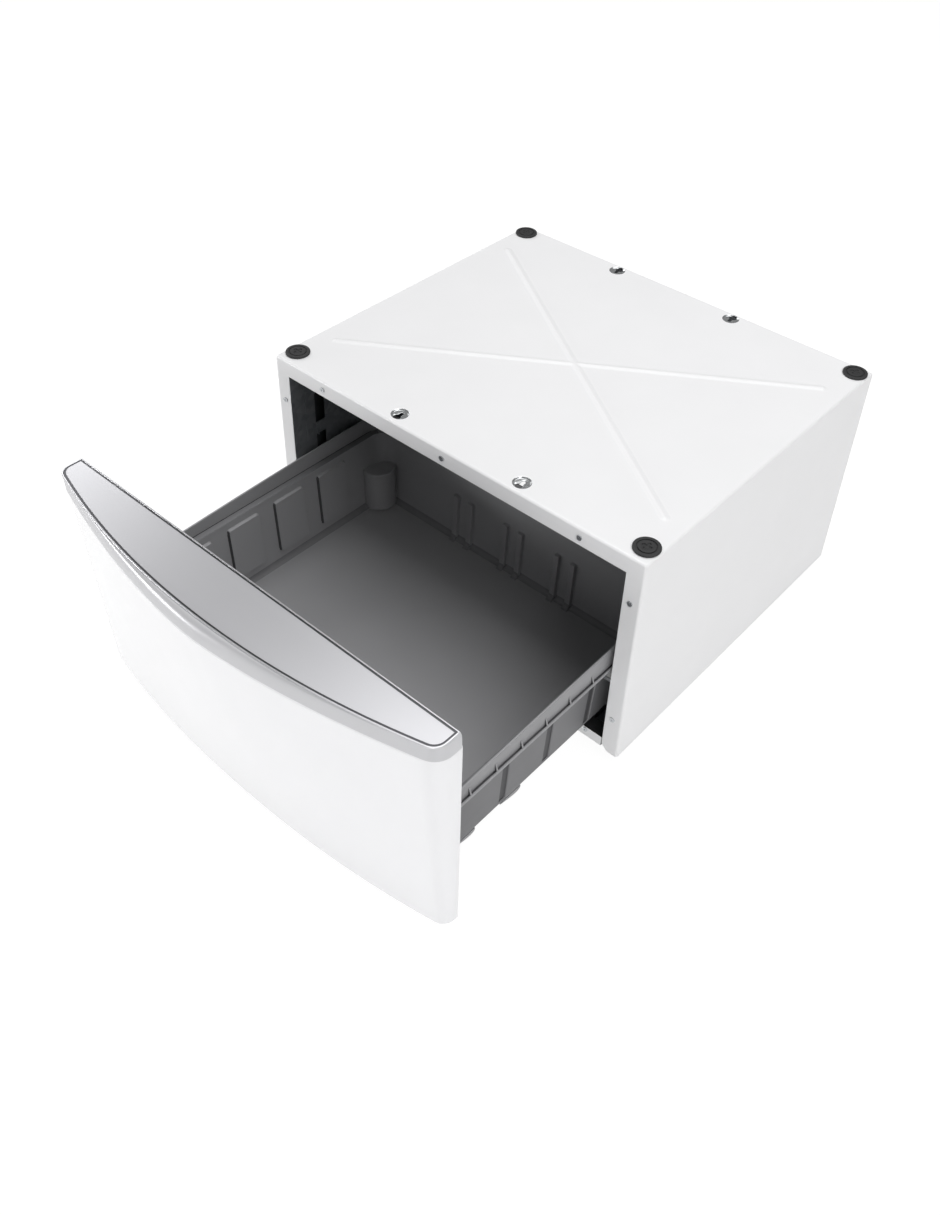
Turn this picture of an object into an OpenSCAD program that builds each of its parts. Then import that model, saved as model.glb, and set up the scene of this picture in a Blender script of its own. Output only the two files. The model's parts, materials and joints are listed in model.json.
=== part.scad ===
// Pedestal drawer that lifts a front-loading washer: a sheet metal cabinet on
// four levelling feet, and a moulded tub drawer that runs on rollers behind a
// bowed front with a metal grip cap.
// The origin lies on the floor under the centre of the cabinet, +Z is up, and
// the drawer opens towards -Y. The drawer is drawn part way out.

/* [Cabinet] */
// Outer width of the cabinet
cab_w = 686; // [666:1:710]
// Outer depth of the cabinet
cab_d = 591; // [575:1:640]
// Height of the sheet metal body without its feet
cab_h = 371; // [361:1:400]
// Height of the body's lower edge over the floor
floor_gap = 23; // [21:0.5:27]
// Thickness of the cabinet sheet
sheet_t = 1; // [0.8:0.1:1.2]
// Outer radius of the cabinet's bends
bend_r = 4; // [3:0.5:5]
// Width of the folded edges at the bottom and the back
return_w = 14; // [12:0.5:16]

/* [Front opening] */
// Width of the front flange on each side
side_flange_w = 27.5; // [25:0.5:30]
// Height of the front flange under the top
top_flange_w = 27; // [25:0.5:30]
// Chamfer at the lower inner corner of each side flange
flange_chamfer = 10; // [6:0.5:13]
// Height of the bottom rail's face
bottom_rail_h = 18; // [16:0.5:18.5]
// Distance from the body's lower edge up to the bottom rails
bottom_rail_lift = 2; // [1.5:0.5:2.5]
// Gap between the ends of the bottom rails and the opening
bottom_rail_gap = 2; // [1.5:0.1:2.5]
// Depth of the two bottom rails
bottom_rail_d = 24; // [18:1:28]
// Thickness of the inner braces and brackets
brace_t = 1.2; // [1:0.1:1.4]
// Height of the rails that carry the feet
base_rail_h = 15; // [12:0.5:16]
// Width of the rails that carry the feet
base_rail_w = 64; // [62:0.5:66]
// Distance from the cabinet's back to the side brackets' rear ends
bracket_back = 30; // [26:1:40]
// Width of the side brackets' front tabs
bracket_tab_w = 18; // [16:0.5:20]
// Width of the window in each side bracket
window_w = 20; // [14:1:24]
// Distance from the cabinet's front to the bracket's window
window_front = 47; // [42:1:56]
// Distance from the cabinet's front to the bracket's upright joggle
joggle_front = 27; // [24:1:30]
// Width of the joggle
joggle_w = 7; // [5:0.5:9]
// Width of the folded edge between the bracket's windows
window_fold_w = 4; // [3:0.5:5]
// Depth of the braces under the top
top_brace_d = 12; // [8:1:16]

/* [Top] */
// Width of the crossed stiffening beads
bead_w = 14; // [10:0.5:18]
// Height of the beads over the top
bead_h = 1.8; // [1.2:0.1:2.2]
// Distance from the side of the cabinet to the end of a bead
bead_end_x = 37; // [30:1:50]
// Distance from the front and the back to the end of a bead
bead_end_y = 92; // [80:1:110]
// Diameter of the dish round each washer bolt
dish_d = 27; // [25:0.5:28]
// Depth of the dishes
dish_depth = 2; // [1.5:0.1:2.4]
// Distance between the two washer bolts of a row
bolt_span = 226; // [200:1:250]
// Sideways shift of the front row to one side and of the back row to the other
bolt_shift = 13; // [0:1:30]
// Distance from the cabinet's front to the front bolt row
bolt_front = 21; // [20:0.5:26]
// Distance from the cabinet's back to the back bolt row
bolt_back = 17; // [16:0.5:24]
// Diameter of the wide end of a keyhole
key_d = 12; // [10:0.5:12]
// Width of a keyhole's slot
key_slot = 6; // [5:0.5:7]
// Distance from the dish's centre to the wide end's centre
key_shift = 6.5; // [6:0.5:7]
// Distance from the dish's centre to the end of the slot
key_reach = 6.5; // [5:0.5:8]

/* [Rubber pads] */
// Diameter of the rubber pads under the washer's feet
pad_d = 37.5; // [34:0.5:39]
// Height of the rubber pads
pad_h = 3.5; // [3:0.1:4.5]
// Distance from the cabinet's side to a pad's centre
pad_side = 20; // [20:0.5:22]
// Distance from the cabinet's front to the front pads' centres
pad_front = 28; // [24:0.5:34]
// Distance from the cabinet's back to the back pads' centres
pad_back = 22; // [20:0.5:30]
// Width of the raised ring round a pad
pad_ring_w = 5; // [4:0.5:6]
// Depth of the recesses in a pad
pad_recess = 1.5; // [1:0.1:2]
// Diameter of the lobes of a pad's middle recess
pad_lobe_d = 5; // [4:0.5:5.5]
// Length of the stem that holds a pad in the top
pad_stem_l = 5; // [3:0.5:7]
// Diameter of the stem that holds a pad in the top
pad_stem_d = 6; // [5:0.5:7]

/* [Screws] */
// Head diameter of the sheet metal screws
screw_head_d = 8; // [7:0.5:9]
// Head height of the sheet metal screws
screw_head_h = 1.6; // [1.4:0.1:1.6]
// Shank diameter of the sheet metal screws
screw_d = 4; // [3.5:0.1:4.5]
// Length of the shanks
screw_l = 9; // [7:0.5:10]
// Width of the slots of a screw's cross recess
screw_slot_w = 1; // [0.8:0.1:1.2]
// Gap between a shank and its hole
screw_gap = 0.3; // [0.2:0.05:0.4]

/* [Drawer] */
// How far the drawer is drawn out
drawer_open = 334; // [300:1:360]
// Gap between the closed front and the cabinet
closed_gap = 2; // [2:0.1:2.5]

/* [Front panel] */
// How far the front stands past the cabinet's side
panel_over = 2; // [1:0.5:4]
// Height of the front panel under the cap
panel_h = 339; // [325:1:345]
// Depth of the front at its middle under the cap
bow_top = 100; // [90:1:110]
// Depth of the front at its middle along the bottom
bow_low = 55; // [50:1:65]
// How much shallower the front is at its ends under the cap
sag_top = 53; // [45:1:58]
// How much shallower the front is at its ends along the bottom
sag_low = 30; // [24:1:32]
// Radius of the front's vertical corners
front_corner_r = 18; // [14:1:20]
// Wall thickness of the front panel
panel_wall = 2; // [1.5:0.1:2.5]
// Width of the folded edge round the back of the panel
panel_return = 18; // [16:1:20]
// Height of the rounding along the panel's upper edge
panel_round = 5; // [4:0.5:7]
// How far the rounding draws the upper edge in
panel_round_in = 1.6; // [1:0.1:2]
// Diameter of the bumpers on the back of the front
bumper_d = 10; // [8:0.5:12]
// Distance from the front's edges to the back plate's edges
plate_edge = 6; // [5:0.5:8]

/* [Cap] */
// Height of the cap over the panel
cap_h = 25; // [22:0.5:28]
// How far the cap's band stands past the panel at its ends
cap_over = 2.5; // [1.5:0.5:3]
// How far the cap's nose slopes back from the band to the top plate
cap_nose = 12; // [9:0.5:14]
// How much shallower the top plate is at its ends
cap_sag = 40; // [34:1:44]
// Distance from the front's back plane to the cap's rear edge
cap_back = 4; // [2:0.5:6]
// Wall thickness of the cap
cap_wall = 2.5; // [2:0.1:3]
// Width of the bright rim round the top plate
trim_w = 2.5; // [2:0.1:3.5]
// Height of the bright rim over the top plate
trim_h = 0.6; // [0.4:0.1:0.8]
// Thickness of the top plate
cap_plate_t = 1; // [0.8:0.1:1.2]

/* [Tub] */
// Wall thickness of the tub
tub_wall = 3; // [2.5:0.1:3.2]
// Length of the tub
tub_len = 513; // [500:1:520]
// Height of the tub's underside over the body's lower edge
tub_low = 28.5; // [27.5:0.5:32]
// Height of the rim at the back over the body's lower edge
rim_back_h = 196; // [188:1:204]
// Height of the rim at the front over the body's lower edge
rim_front_h = 181; // [175:1:186]
// Height of the side ledge's top over the body's lower edge
ledge_h = 160; // [156:1:164]
// Gap between the ledge's edge and the opening
ledge_gap = 3.5; // [3:0.1:4]
// Gap between the rim's outer face and the opening
rim_gap = 8; // [7.5:0.1:9]
// Gap between the side walls and the opening under the ledge
wall_gap = 19.5; // [19:0.1:20]
// How far the walls lean inwards from the ledge to the floor
tub_draft = 7; // [5:0.5:9]
// Radius of the tub's rear corners
tub_corner_r = 34; // [30:1:38]
// Radius between the tub's walls and its floor
tub_floor_r = 14; // [10:1:16]
// Width of the raised panels on the side walls
panel_w = 60; // [50:1:66]
// Pitch of the raised panels
panel_pitch = 92; // [86:1:96]
// Distance from the tub's front to the first raised panel
panel_first = 181; // [160:1:190]
// How far the raised panels stand out of the wall
panel_proud = 4; // [2.5:0.5:5]
// Height of the raised panels' upper edge over the body's lower edge
panel_top_h = 143; // [135:1:148]
// Width of the ribs on the back wall
rib_w = 11; // [8:0.5:14]
// How far the ribs stand out of the back wall
rib_proud = 5; // [3:0.5:6]
// Pitch of the rib pairs
rib_pitch = 105; // [95:1:112]
// Distance between the two ribs of a pair
rib_space = 31; // [26:1:36]
// Height of the ribs' upper ends over the body's lower edge
rib_top_h = 120; // [110:1:130]
// Diameter of the corner posts
post_d = 42; // [36:1:46]
// Distance from the opening's edge to a corner post's centre
post_side = 36; // [34:1:40]
// Distance from the tub's back to a corner post's centre
post_back = 30; // [26:1:34]
// Height of the corner posts' tops over the body's lower edge
post_top_h = 110; // [100:1:120]
// Thickness of the gussets on the ledge
gusset_t = 2.5; // [2:0.1:3]
// Height of the gussets
gusset_h = 14; // [10:0.5:18]
// Pitch of the gussets
gusset_pitch = 49; // [45:1:54]
// Distance from the tub's front to the first gusset
gusset_first = 65; // [50:1:70]
// Width of the grooves outside the side walls
groove_w = 12; // [8:0.5:14]
// Depth of the grooves
groove_depth = 1.5; // [1:0.1:1.6]
// Pitch of the grooves and of the skids
groove_pitch = 89; // [84:1:94]
// Distance from the tub's front to the first groove
groove_first = 134; // [120:1:140]
// Distance from the tub's front to the first skid
skid_first = 55; // [45:1:65]
// Radius of the round skids under the side walls
skid_r = 16; // [14:0.5:18]
// How far the skids reach below the floor
skid_drop = 6.5; // [5:0.5:7]
// Width of the skids
skid_w = 12; // [8:1:16]

/* [Slides] */
// Height of the cabinet rails
rail_h = 28; // [27:0.5:29]
// Thickness of the rails and runners
rail_t = 1.5; // [1.2:0.1:1.6]
// Distance from the rails' inner edges to the tub's side wall
rail_gap = 4.5; // [4.3:0.1:4.8]
// Gap between the rail's rear end and the cabinet's back
rail_back_gap = 70; // [60:1:80]
// Width of the rollers
roller_w = 9; // [8.5:0.1:9.2]
// Depth of the ring recess in a roller's faces
roller_recess = 0.8; // [0.5:0.1:1.2]
// Diameter of the roller pins
pin_d = 6; // [5.5:0.1:7]
// Diameter of the pin heads
pin_head_d = 10; // [9:0.5:12]
// Height of the pin heads
pin_head_h = 1.5; // [1.2:0.1:1.6]
// Radial play of the rollers on their pins
pin_play = 0.05; // [0.03:0.01:0.08]
// Distance from the cabinet's front to the front roller
roller_front = 16; // [15.5:0.1:18]
// Distance from the tub's back wall to the axes of its rollers
roller_back = 17; // [17:1:29]
// Gap between moving faces
run_gap = 0.3; // [0.25:0.01:0.35]
// Height of the stop tab in each rail
stop_h = 8; // [6:0.5:9]
// How much further the drawer opens from where it is drawn
travel_out = 46; // [40:1:50]

/* [Feet] */
// Diameter of the foot pads
foot_d = 44; // [38:1:44]
// Height of the foot pads
foot_h = 10; // [8:0.5:12]
// Height of the wide base of a foot pad
foot_base_h = 6; // [5:0.5:7]
// Diameter of the neck on a foot pad
foot_neck_d = 26; // [22:0.5:28]
// Diameter of the threaded stems
stem_d = 10; // [8:0.5:12]
// How far the stems stand out of their nuts
stem_l = 26; // [25:0.5:28]
// Distance from the cabinet's side to a foot's centre
foot_side = 41; // [40:0.5:44]
// Distance from the cabinet's front and back to a foot's centre
foot_end = 46; // [44:0.5:54]
// Width across the flats of the foot nuts
nut_w = 17; // [16:0.5:19]
// Height of the foot nuts
nut_h = 8; // [6:0.5:9]

/* [Hidden] */
$fa = 4;
$fs = 0.4;

// Left is -X, as seen from the front.
LEFT = -1;
RIGHT = 1;
FRONT = -1;
BACK = 1;

// Overrun of cutting shapes past the faces they cut
over = 2;
// Thickness of the slices that a lofted shape runs between
slice = 0.01;

// Shares that set where things lie along an edge or round a shape
flange_top_share = 0.7;
flange_top_screw_share = 0.55;
flange_side_screw_share = 0.57;
flange_side_low_share = 0.19;
flange_side_high_share = 0.8;
bottom_screw_share = 0.83;
bottom_screw_z_share = 0.7;
rear_side_shares = [0.2, 0.5, 0.8];
rear_top_share = 0.6;
window_high_shares = [0.63, 0.78];
window_low_shares = [0.49, 0.57];
joggle_shares = [0.56, 0.9];
cap_nose_shares = [[0, 0], [0.5, 0.03], [0.72, 0.12], [0.88, 0.38], [0.96, 0.68], [1, 1]];
cap_screw_share = 0.5;
cap_screw_depth_share = 0.45;
plate_screw_shares = [0.28, 0.55, 0.82];
bumper_shares = [0.066, 0.95];
tub_screw_x_shares = [0.35, 0.8];
tub_screw_z_shares = [0.3, 0.75];
runner_screw_shares = [0.12, 0.5, 0.86];
runner_screw_z_share = 0.6;
// Powers and step counts of the front's bow
bow_power_top = 2.1;
bow_power_low = 2.4;
bow_power_cap = 2;
bow_steps = 14;
corner_steps = 6;
// Sides of the fine circle that cuts the rim's gentle arc
rim_arc_sides = 1440;

// Cabinet planes
half_w = cab_w / 2;
half_d = cab_d / 2;
low_z = floor_gap;
top_z = floor_gap + cab_h;
open_half = half_w - side_flange_w;
open_top_z = top_z - top_flange_w;
rail_z = low_z + bottom_rail_lift;
rail_top_z = rail_z + bottom_rail_h;
flange_in_y = half_d - sheet_t;

// Brackets, rails and rollers
web_x = open_half + run_gap;
wall_x = open_half - wall_gap;
ledge_z = low_z + ledge_h;
under_ledge_z = ledge_z - tub_wall;
roller_top_z = under_ledge_z - rail_t - run_gap;
slide_z = roller_top_z - rail_h;
rail_x = wall_x + rail_gap;
front_roller_d = rail_h - rail_t * 2 - run_gap * 4;
front_roller_z = roller_top_z - front_roller_d / 2;
front_roller_y = -half_d + roller_front;
rear_roller_z = slide_z + rail_h / 2;
rear_roller_d = rail_h - rail_t * 2 - run_gap * 2;
rail_back_y = half_d - rail_back_gap;
window_y = window_front - half_d;
joggle_y = joggle_front - half_d;
rail_in_x = web_x - rail_t;
front_roller_x1 = rail_in_x - pin_head_h - run_gap;
front_roller_x0 = front_roller_x1 - roller_w;
rear_roller_x1 = rail_in_x - pin_head_h - run_gap * 2;
rear_roller_x0 = rear_roller_x1 - roller_w;
leg_x = wall_x + rail_t;
pin_r = pin_d / 2;

// Drawer planes
front_y = -half_d - closed_gap - drawer_open;
plate_t = brace_t;
panel_y = front_y - plate_t;
panel_half = half_w + panel_over;
panel_top_z = low_z + panel_h;
cap_half = panel_half + cap_over;
cap_top_z = panel_top_z + cap_h - cap_plate_t;
rear_roller_y = front_y + tub_len - roller_back;
stop_y = rear_roller_y - travel_out - rear_roller_d / 2 - run_gap;

// Tub planes
tub_z = low_z + tub_low;
rim_x = open_half - rim_gap;
ledge_x = open_half - ledge_gap;
rim_back_z = low_z + rim_back_h;
rim_front_z = low_z + rim_front_h;
tub_back_y = front_y + tub_len;
post_x = open_half - post_side;

// Screws and pads
shank_r = screw_d / 2;
hole_r = shank_r + screw_gap;
pad_stem_r = pad_stem_d / 2;
pad_x = half_w - pad_side;

// Draws its children on the right, or mirrored on the left
module on_side(side) {
    mirror([side < 0 ? 1 : 0, 0, 0]) children();
}

// A box between two corners
module box(from, to) {
    translate(from) cube(to - from);
}

// A cylinder along Y that starts at its point and runs towards -Y
module bar_y(at, r, len) {
    translate(at) rotate([90, 0, 0]) cylinder(h = len, r = r);
}

// A cylinder along X that starts at its point and runs towards +X
module bar_x(at, r, len) {
    translate(at) rotate([0, 90, 0]) cylinder(h = len, r = r);
}

// A box with rounded vertical edges and rounded upper edges
module rounded_case(half_x, half_y, z0, z1, r) {
    intersection() {
        union() {
            box([-half_x, -half_y, z0], [half_x, half_y, z1 - r]);
            box([r - half_x, -half_y, z0], [half_x - r, half_y, z1]);
            for (s = [LEFT, RIGHT]) bar_y([s * (half_x - r), half_y, z1 - r], r, half_y * 2);
        }
        union() {
            box([-half_x, -half_y, z0], [half_x, half_y, z1 - r]);
            box([-half_x, r - half_y, z0], [half_x, half_y - r, z1]);
            for (s = [FRONT, BACK]) bar_x([-half_x, s * (half_y - r), z1 - r], r, half_x * 2);
        }
        union() {
            box([r - half_x, -half_y, z0], [half_x - r, half_y, z1]);
            box([-half_x, r - half_y, z0], [half_x, half_y - r, z1]);
            for (s = [LEFT, RIGHT])
                for (e = [FRONT, BACK])
                    translate([s * (half_x - r), e * (half_y - r), z0]) cylinder(h = z1 - z0, r = r);
        }
    }
}

// A pan head screw whose head starts at z = 0 and whose shank runs down
module screw(len = screw_l) {
    difference() {
        cylinder(h = screw_head_h, d = screw_head_d);
        for (turn = [0, 90])
            rotate([0, 0, turn])
                box([-shank_r, -screw_slot_w / 2, screw_head_h / 2],
                    [shank_r, screw_slot_w / 2, screw_head_h + over]);
    }
    translate([0, 0, -len]) cylinder(h = len, r = shank_r);
}

// Turns a screw so that its head looks towards -Y, +Y, +X or down
module facing_front() { rotate([90, 0, 0]) children(); }
module facing_back() { rotate([-90, 0, 0]) children(); }
module facing_out() { rotate([0, 90, 0]) children(); }
module facing_down() { rotate([180, 0, 0]) children(); }

// Where the cabinet's screws sit
flange_top_xs = [for (s = [-1, 0, 1]) s * half_w * flange_top_share];
flange_top_screw_z = top_z - top_flange_w * flange_top_screw_share;
flange_side_x = half_w - side_flange_w * flange_side_screw_share;
flange_side_zs = [low_z + cab_h * flange_side_low_share, low_z + cab_h * flange_side_high_share];
bottom_screw_x = half_w * bottom_screw_share;
bottom_screw_z = rail_z + bottom_rail_h * bottom_screw_z_share;
rear_screw_x = half_w - return_w / 2;

/* Cabinet */

// One stiffening bead: a shallow round-ended ridge on the diagonal
module bead(grow) {
    bead_r = (bead_w * bead_w / 4 + bead_h * bead_h) / (bead_h * 2);
    end_x = half_w - bead_end_x - bead_w / 2;
    end_y = half_d - bead_end_y - bead_w / 2;
    len = norm([end_x, end_y]) * 2;
    translate([0, 0, top_z + bead_h - bead_r])
        rotate([0, 0, atan2(end_y, end_x)])
            rotate([0, 90, 0])
                union() {
                    cylinder(h = len, r = bead_r + grow, center = true);
                    for (s = [-1, 1]) translate([0, 0, s * len / 2]) sphere(r = bead_r + grow);
                }
}

module both_beads(grow) {
    bead(grow);
    mirror([1, 0, 0]) bead(grow);
}

// Keyhole of a washer bolt, with its wide end towards the given end
module keyhole(end) {
    z0 = top_z - dish_depth - sheet_t - over;
    z1 = top_z + over;
    translate([0, end * key_shift, z0]) cylinder(h = z1 - z0, d = key_d);
    translate([0, -end * (key_reach - key_slot / 2), z0]) cylinder(h = z1 - z0, d = key_slot);
    reach = key_reach - key_slot / 2;
    box([-key_slot / 2, end < 0 ? -key_shift : -reach, z0], [key_slot / 2, end < 0 ? reach : key_shift, z1]);
}

// Places its children at the four washer bolts
module at_bolts(end) {
    y = end < 0 ? bolt_front - half_d : half_d - bolt_back;
    for (s = [LEFT, RIGHT]) translate([s * bolt_span / 2 - end * bolt_shift, y, 0]) children();
}

function pad_y(end) = end < 0 ? -half_d + pad_front : half_d - pad_back;

module cabinet_wrapper() {
    color("white") difference() {
        union() {
            difference() {
                rounded_case(half_w, half_d, low_z, top_z, bend_r);
                rounded_case(half_w - sheet_t, half_d - sheet_t, low_z + sheet_t, top_z - sheet_t,
                    bend_r - sheet_t);
                // open bottom inside the folded edges
                box([return_w - half_w, sheet_t - half_d, low_z - over],
                    [half_w - return_w, half_d - sheet_t, low_z + sheet_t + over]);
            }
            intersection() {
                both_beads(0);
                box([-half_w, -half_d, top_z - sheet_t / 2], [half_w, half_d, top_z + bead_h + over]);
            }
            for (end = [FRONT, BACK])
                at_bolts(end)
                    translate([0, 0, top_z - dish_depth - sheet_t])
                        cylinder(h = dish_depth, d = dish_d + sheet_t * 2);
        }
        both_beads(-sheet_t);
        for (end = [FRONT, BACK]) {
            at_bolts(end) {
                translate([0, 0, top_z - dish_depth]) cylinder(h = dish_depth + over, d = dish_d);
                keyhole(end);
            }
        }
        front_opening();
        // back opening inside the rear flange
        box([return_w - half_w, flange_in_y - over, low_z - over],
            [half_w - return_w, half_d + over, top_z - return_w]);
        // holes of the rubber pads and screws
        for (s = [LEFT, RIGHT])
            for (end = [FRONT, BACK])
                translate([s * pad_x, pad_y(end), top_z - sheet_t - over])
                    cylinder(h = sheet_t + over * 2, r = pad_stem_r + screw_gap);
        at_front_screws() bar_y([0, sheet_t + over, 0], hole_r, sheet_t + over * 2);
        at_rear_screws() bar_y([0, over, 0], hole_r, sheet_t + over * 2);
    }
}

// The opening for the drawer, with its chamfered lower corners
module front_opening() {
    points = [
        [-open_half, open_top_z], [open_half, open_top_z],
        [open_half, low_z + flange_chamfer], [open_half + flange_chamfer, low_z],
        [open_half + flange_chamfer, low_z - over], [-open_half - flange_chamfer, low_z - over],
        [-open_half - flange_chamfer, low_z], [-open_half, low_z + flange_chamfer]
    ];
    translate([0, -half_d + sheet_t + over, 0])
        rotate([90, 0, 0])
            linear_extrude(height = sheet_t + over * 2) polygon(points);
}

// Places its children at the front flange's screws, on its outer face
module at_front_screws() {
    for (x = flange_top_xs) translate([x, -half_d, flange_top_screw_z]) children();
    for (s = [LEFT, RIGHT])
        for (z = flange_side_zs)
            translate([s * flange_side_x, -half_d, z]) children();
}

// Places its children at the rear flange's screws, on its outer face
module at_rear_screws() {
    for (s = [LEFT, RIGHT])
        for (share = rear_side_shares)
            translate([s * rear_screw_x, half_d, low_z + cab_h * share]) children();
    for (s = [-1, 0, 1])
        translate([s * half_w * rear_top_share, half_d, top_z - return_w / 2]) children();
}

module rear_panel() {
    color("gainsboro") difference() {
        box([bend_r - half_w, flange_in_y - sheet_t, rail_top_z + sheet_t],
            [half_w - bend_r, flange_in_y, top_z - max(bend_r, dish_depth + sheet_t * 2)]);
        at_rear_screws() bar_y([0, over, 0], hole_r, sheet_t * 2 + over * 2);
    }
}

// Draws its children at one end of the cabinet, made for the front
module at_end(end) {
    mirror([0, end < 0 ? 0 : 1, 0]) children();
}

// A channel along the lower edge of the opening, open to the inside
module bottom_rail() {
    rail_half = open_half - bottom_rail_gap;
    y0 = brace_t - half_d;
    difference() {
        box([-rail_half, y0, rail_z], [rail_half, y0 + bottom_rail_d, rail_top_z]);
        box([-rail_half - over, y0 + brace_t, rail_z + brace_t],
            [rail_half + over, y0 + bottom_rail_d + over, rail_top_z - brace_t]);
        for (s = [LEFT, RIGHT])
            bar_y([s * bottom_screw_x, y0 + brace_t + over, bottom_screw_z], hole_r, brace_t + over * 2);
    }
}

module front_bottom_rail() { color("white") bottom_rail(); }
module rear_bottom_rail() { color("white") at_end(BACK) bottom_rail(); }

// An angle under the top: a leg behind the flange and a stiffening foot
module top_brace(y0, leg_top_z) {
    brace_half = open_half - run_gap;
    z0 = open_top_z + sheet_t;
    box([-brace_half, y0, z0], [brace_half, y0 + brace_t, leg_top_z]);
    box([-brace_half, y0, z0], [brace_half, y0 + top_brace_d, z0 + brace_t]);
}

module front_top_brace() {
    color("silver") difference() {
        top_brace(-flange_in_y, top_z - bend_r);
        at_front_screws() bar_y([0, sheet_t + brace_t + over, 0], hole_r, sheet_t + brace_t + over * 2);
    }
}

module rear_top_brace() {
    color("silver") difference() {
        at_end(BACK) top_brace(sheet_t - flange_in_y, top_z - dish_depth - sheet_t * 2);
        at_rear_screws() bar_y([0, over, 0], hole_r, sheet_t * 2 + brace_t + over * 2);
    }
}

// Centre of the foot at one corner
foot_x = half_w - foot_side;
foot_y = half_d - foot_end;

// A channel from front to back that carries two feet, open to the top
module base_rail() {
    x1 = half_w - sheet_t * 2;
    x0 = x1 - base_rail_w;
    z0 = low_z + sheet_t;
    z1 = z0 + base_rail_h;
    face_y = half_d - brace_t * 2;
    body_y = half_d - brace_t - bottom_rail_d;
    nose_x1 = open_half - bottom_rail_gap * 2;
    nose_z0 = rail_z + brace_t;
    difference() {
        union() {
            box([x0, -body_y, z0], [x1, body_y, z1]);
            box([x0, -face_y, nose_z0], [nose_x1, face_y, z1]);
        }
        box([x0 + brace_t, -body_y - over, z0 + brace_t], [x1 - brace_t, body_y + over, z1 + over]);
        box([x0 + brace_t, brace_t - face_y, nose_z0 - over], [nose_x1 - brace_t, -body_y + over, z1 + over]);
        box([x0 + brace_t, body_y - over, nose_z0 - over], [nose_x1 - brace_t, face_y - brace_t, z1 + over]);
        for (end = [FRONT, BACK]) {
            translate([foot_x, end * foot_y, z0 - over])
                cylinder(h = brace_t + over * 2, d = stem_d + screw_gap * 2);
            bar_y([bottom_screw_x, end * face_y + over * 2, bottom_screw_z], hole_r, over * 4);
        }
    }
}

module base_rail_left() { color("silver") on_side(LEFT) base_rail(); }
module base_rail_right() { color("silver") on_side(RIGHT) base_rail(); }

// The inner side wall that carries a drawer rail, with a tab behind the flange
module side_bracket() {
    z0 = rail_top_z + bottom_rail_gap;
    z1 = top_z - sheet_t * 2;
    y1 = half_d - bracket_back;
    x1 = web_x + brace_t;
    difference() {
        union() {
            box([web_x, -flange_in_y, z0], [x1, y1, z1]);
            box([web_x, -flange_in_y, z0], [x1 + bracket_tab_w, brace_t - flange_in_y, z1 - return_w]);
            box([web_x, y1 - brace_t, z0], [x1 + bracket_tab_w, y1, z1]);
            // upright joggle beside the opening
            box([web_x - brace_t, joggle_y, low_z + cab_h * joggle_shares[0]],
                [web_x, joggle_y + joggle_w, low_z + cab_h * joggle_shares[1]]);
            // folded edge between the two windows
            box([web_x - window_fold_w, window_y + brace_t, low_z + cab_h * window_low_shares[1]],
                [web_x, window_y + brace_t * 2, low_z + cab_h * window_high_shares[0]]);
        }
        for (shares = [window_low_shares, window_high_shares])
            box([web_x - over, window_y, low_z + cab_h * shares[0]],
                [x1 + over, window_y + window_w, low_z + cab_h * shares[1]]);
        at_front_screws() bar_y([0, sheet_t + brace_t + over, 0], hole_r, sheet_t + brace_t + over * 2);
    }
}

module side_bracket_left() { color("dimgray") on_side(LEFT) side_bracket(); }
module side_bracket_right() { color("dimgray") on_side(RIGHT) side_bracket(); }

/* Slides */

// The cabinet's rail: a channel open to the drawer, with a round front end
module cabinet_rail() {
    mid_z = slide_z + rail_h / 2;
    end_r = rail_h / 2;
    top_flange_y = front_roller_y + front_roller_d / 2 + rail_t;
    difference() {
        union() {
            box([rail_x, front_roller_y, slide_z], [web_x, rail_back_y, roller_top_z]);
            bar_x([rail_x, front_roller_y, mid_z], end_r, web_x - rail_x);
        }
        box([rail_x - over, front_roller_y, slide_z + rail_t],
            [rail_in_x, rail_back_y + over, roller_top_z - rail_t]);
        bar_x([rail_x - over, front_roller_y, mid_z], end_r - rail_t, rail_in_x - rail_x + over);
        // the front roller stands out through the cut in the upper flange
        box([rail_x - over, front_roller_y - end_r - over, mid_z],
            [rail_in_x, top_flange_y, roller_top_z + over]);
    }
    // stop for the drawer's rear roller
    box([rail_x, stop_y - rail_t, slide_z + rail_t], [rail_in_x, stop_y, slide_z + rail_t + stop_h]);
}

module cabinet_rail_left() { color("silver") on_side(LEFT) cabinet_rail(); }
module cabinet_rail_right() { color("silver") on_side(RIGHT) cabinet_rail(); }

// A roller round the X axis, from x = 0 to its width
module roller(d) {
    difference() {
        cylinder(h = roller_w, d = d);
        translate([0, 0, -over]) cylinder(h = roller_w + over * 2, r = pin_r + pin_play);
        // ring recess in each face
        for (z = [-over, roller_w - roller_recess])
            translate([0, 0, z])
                difference() {
                    cylinder(h = roller_recess + over, r = d / 2 - rail_t);
                    cylinder(h = roller_recess + over, r = pin_r + rail_t);
                }
    }
}

module cabinet_roller() {
    translate([front_roller_x0, front_roller_y, front_roller_z]) rotate([0, 90, 0]) roller(front_roller_d);
}

module drawer_roller() {
    translate([rear_roller_x0, rear_roller_y, rear_roller_z]) rotate([0, 90, 0]) roller(rear_roller_d);
}

module cabinet_roller_left() { color("whitesmoke") on_side(LEFT) cabinet_roller(); }
module cabinet_roller_right() { color("whitesmoke") on_side(RIGHT) cabinet_roller(); }
module drawer_roller_left() { color("whitesmoke") on_side(LEFT) drawer_roller(); }
module drawer_roller_right() { color("whitesmoke") on_side(RIGHT) drawer_roller(); }

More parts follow.
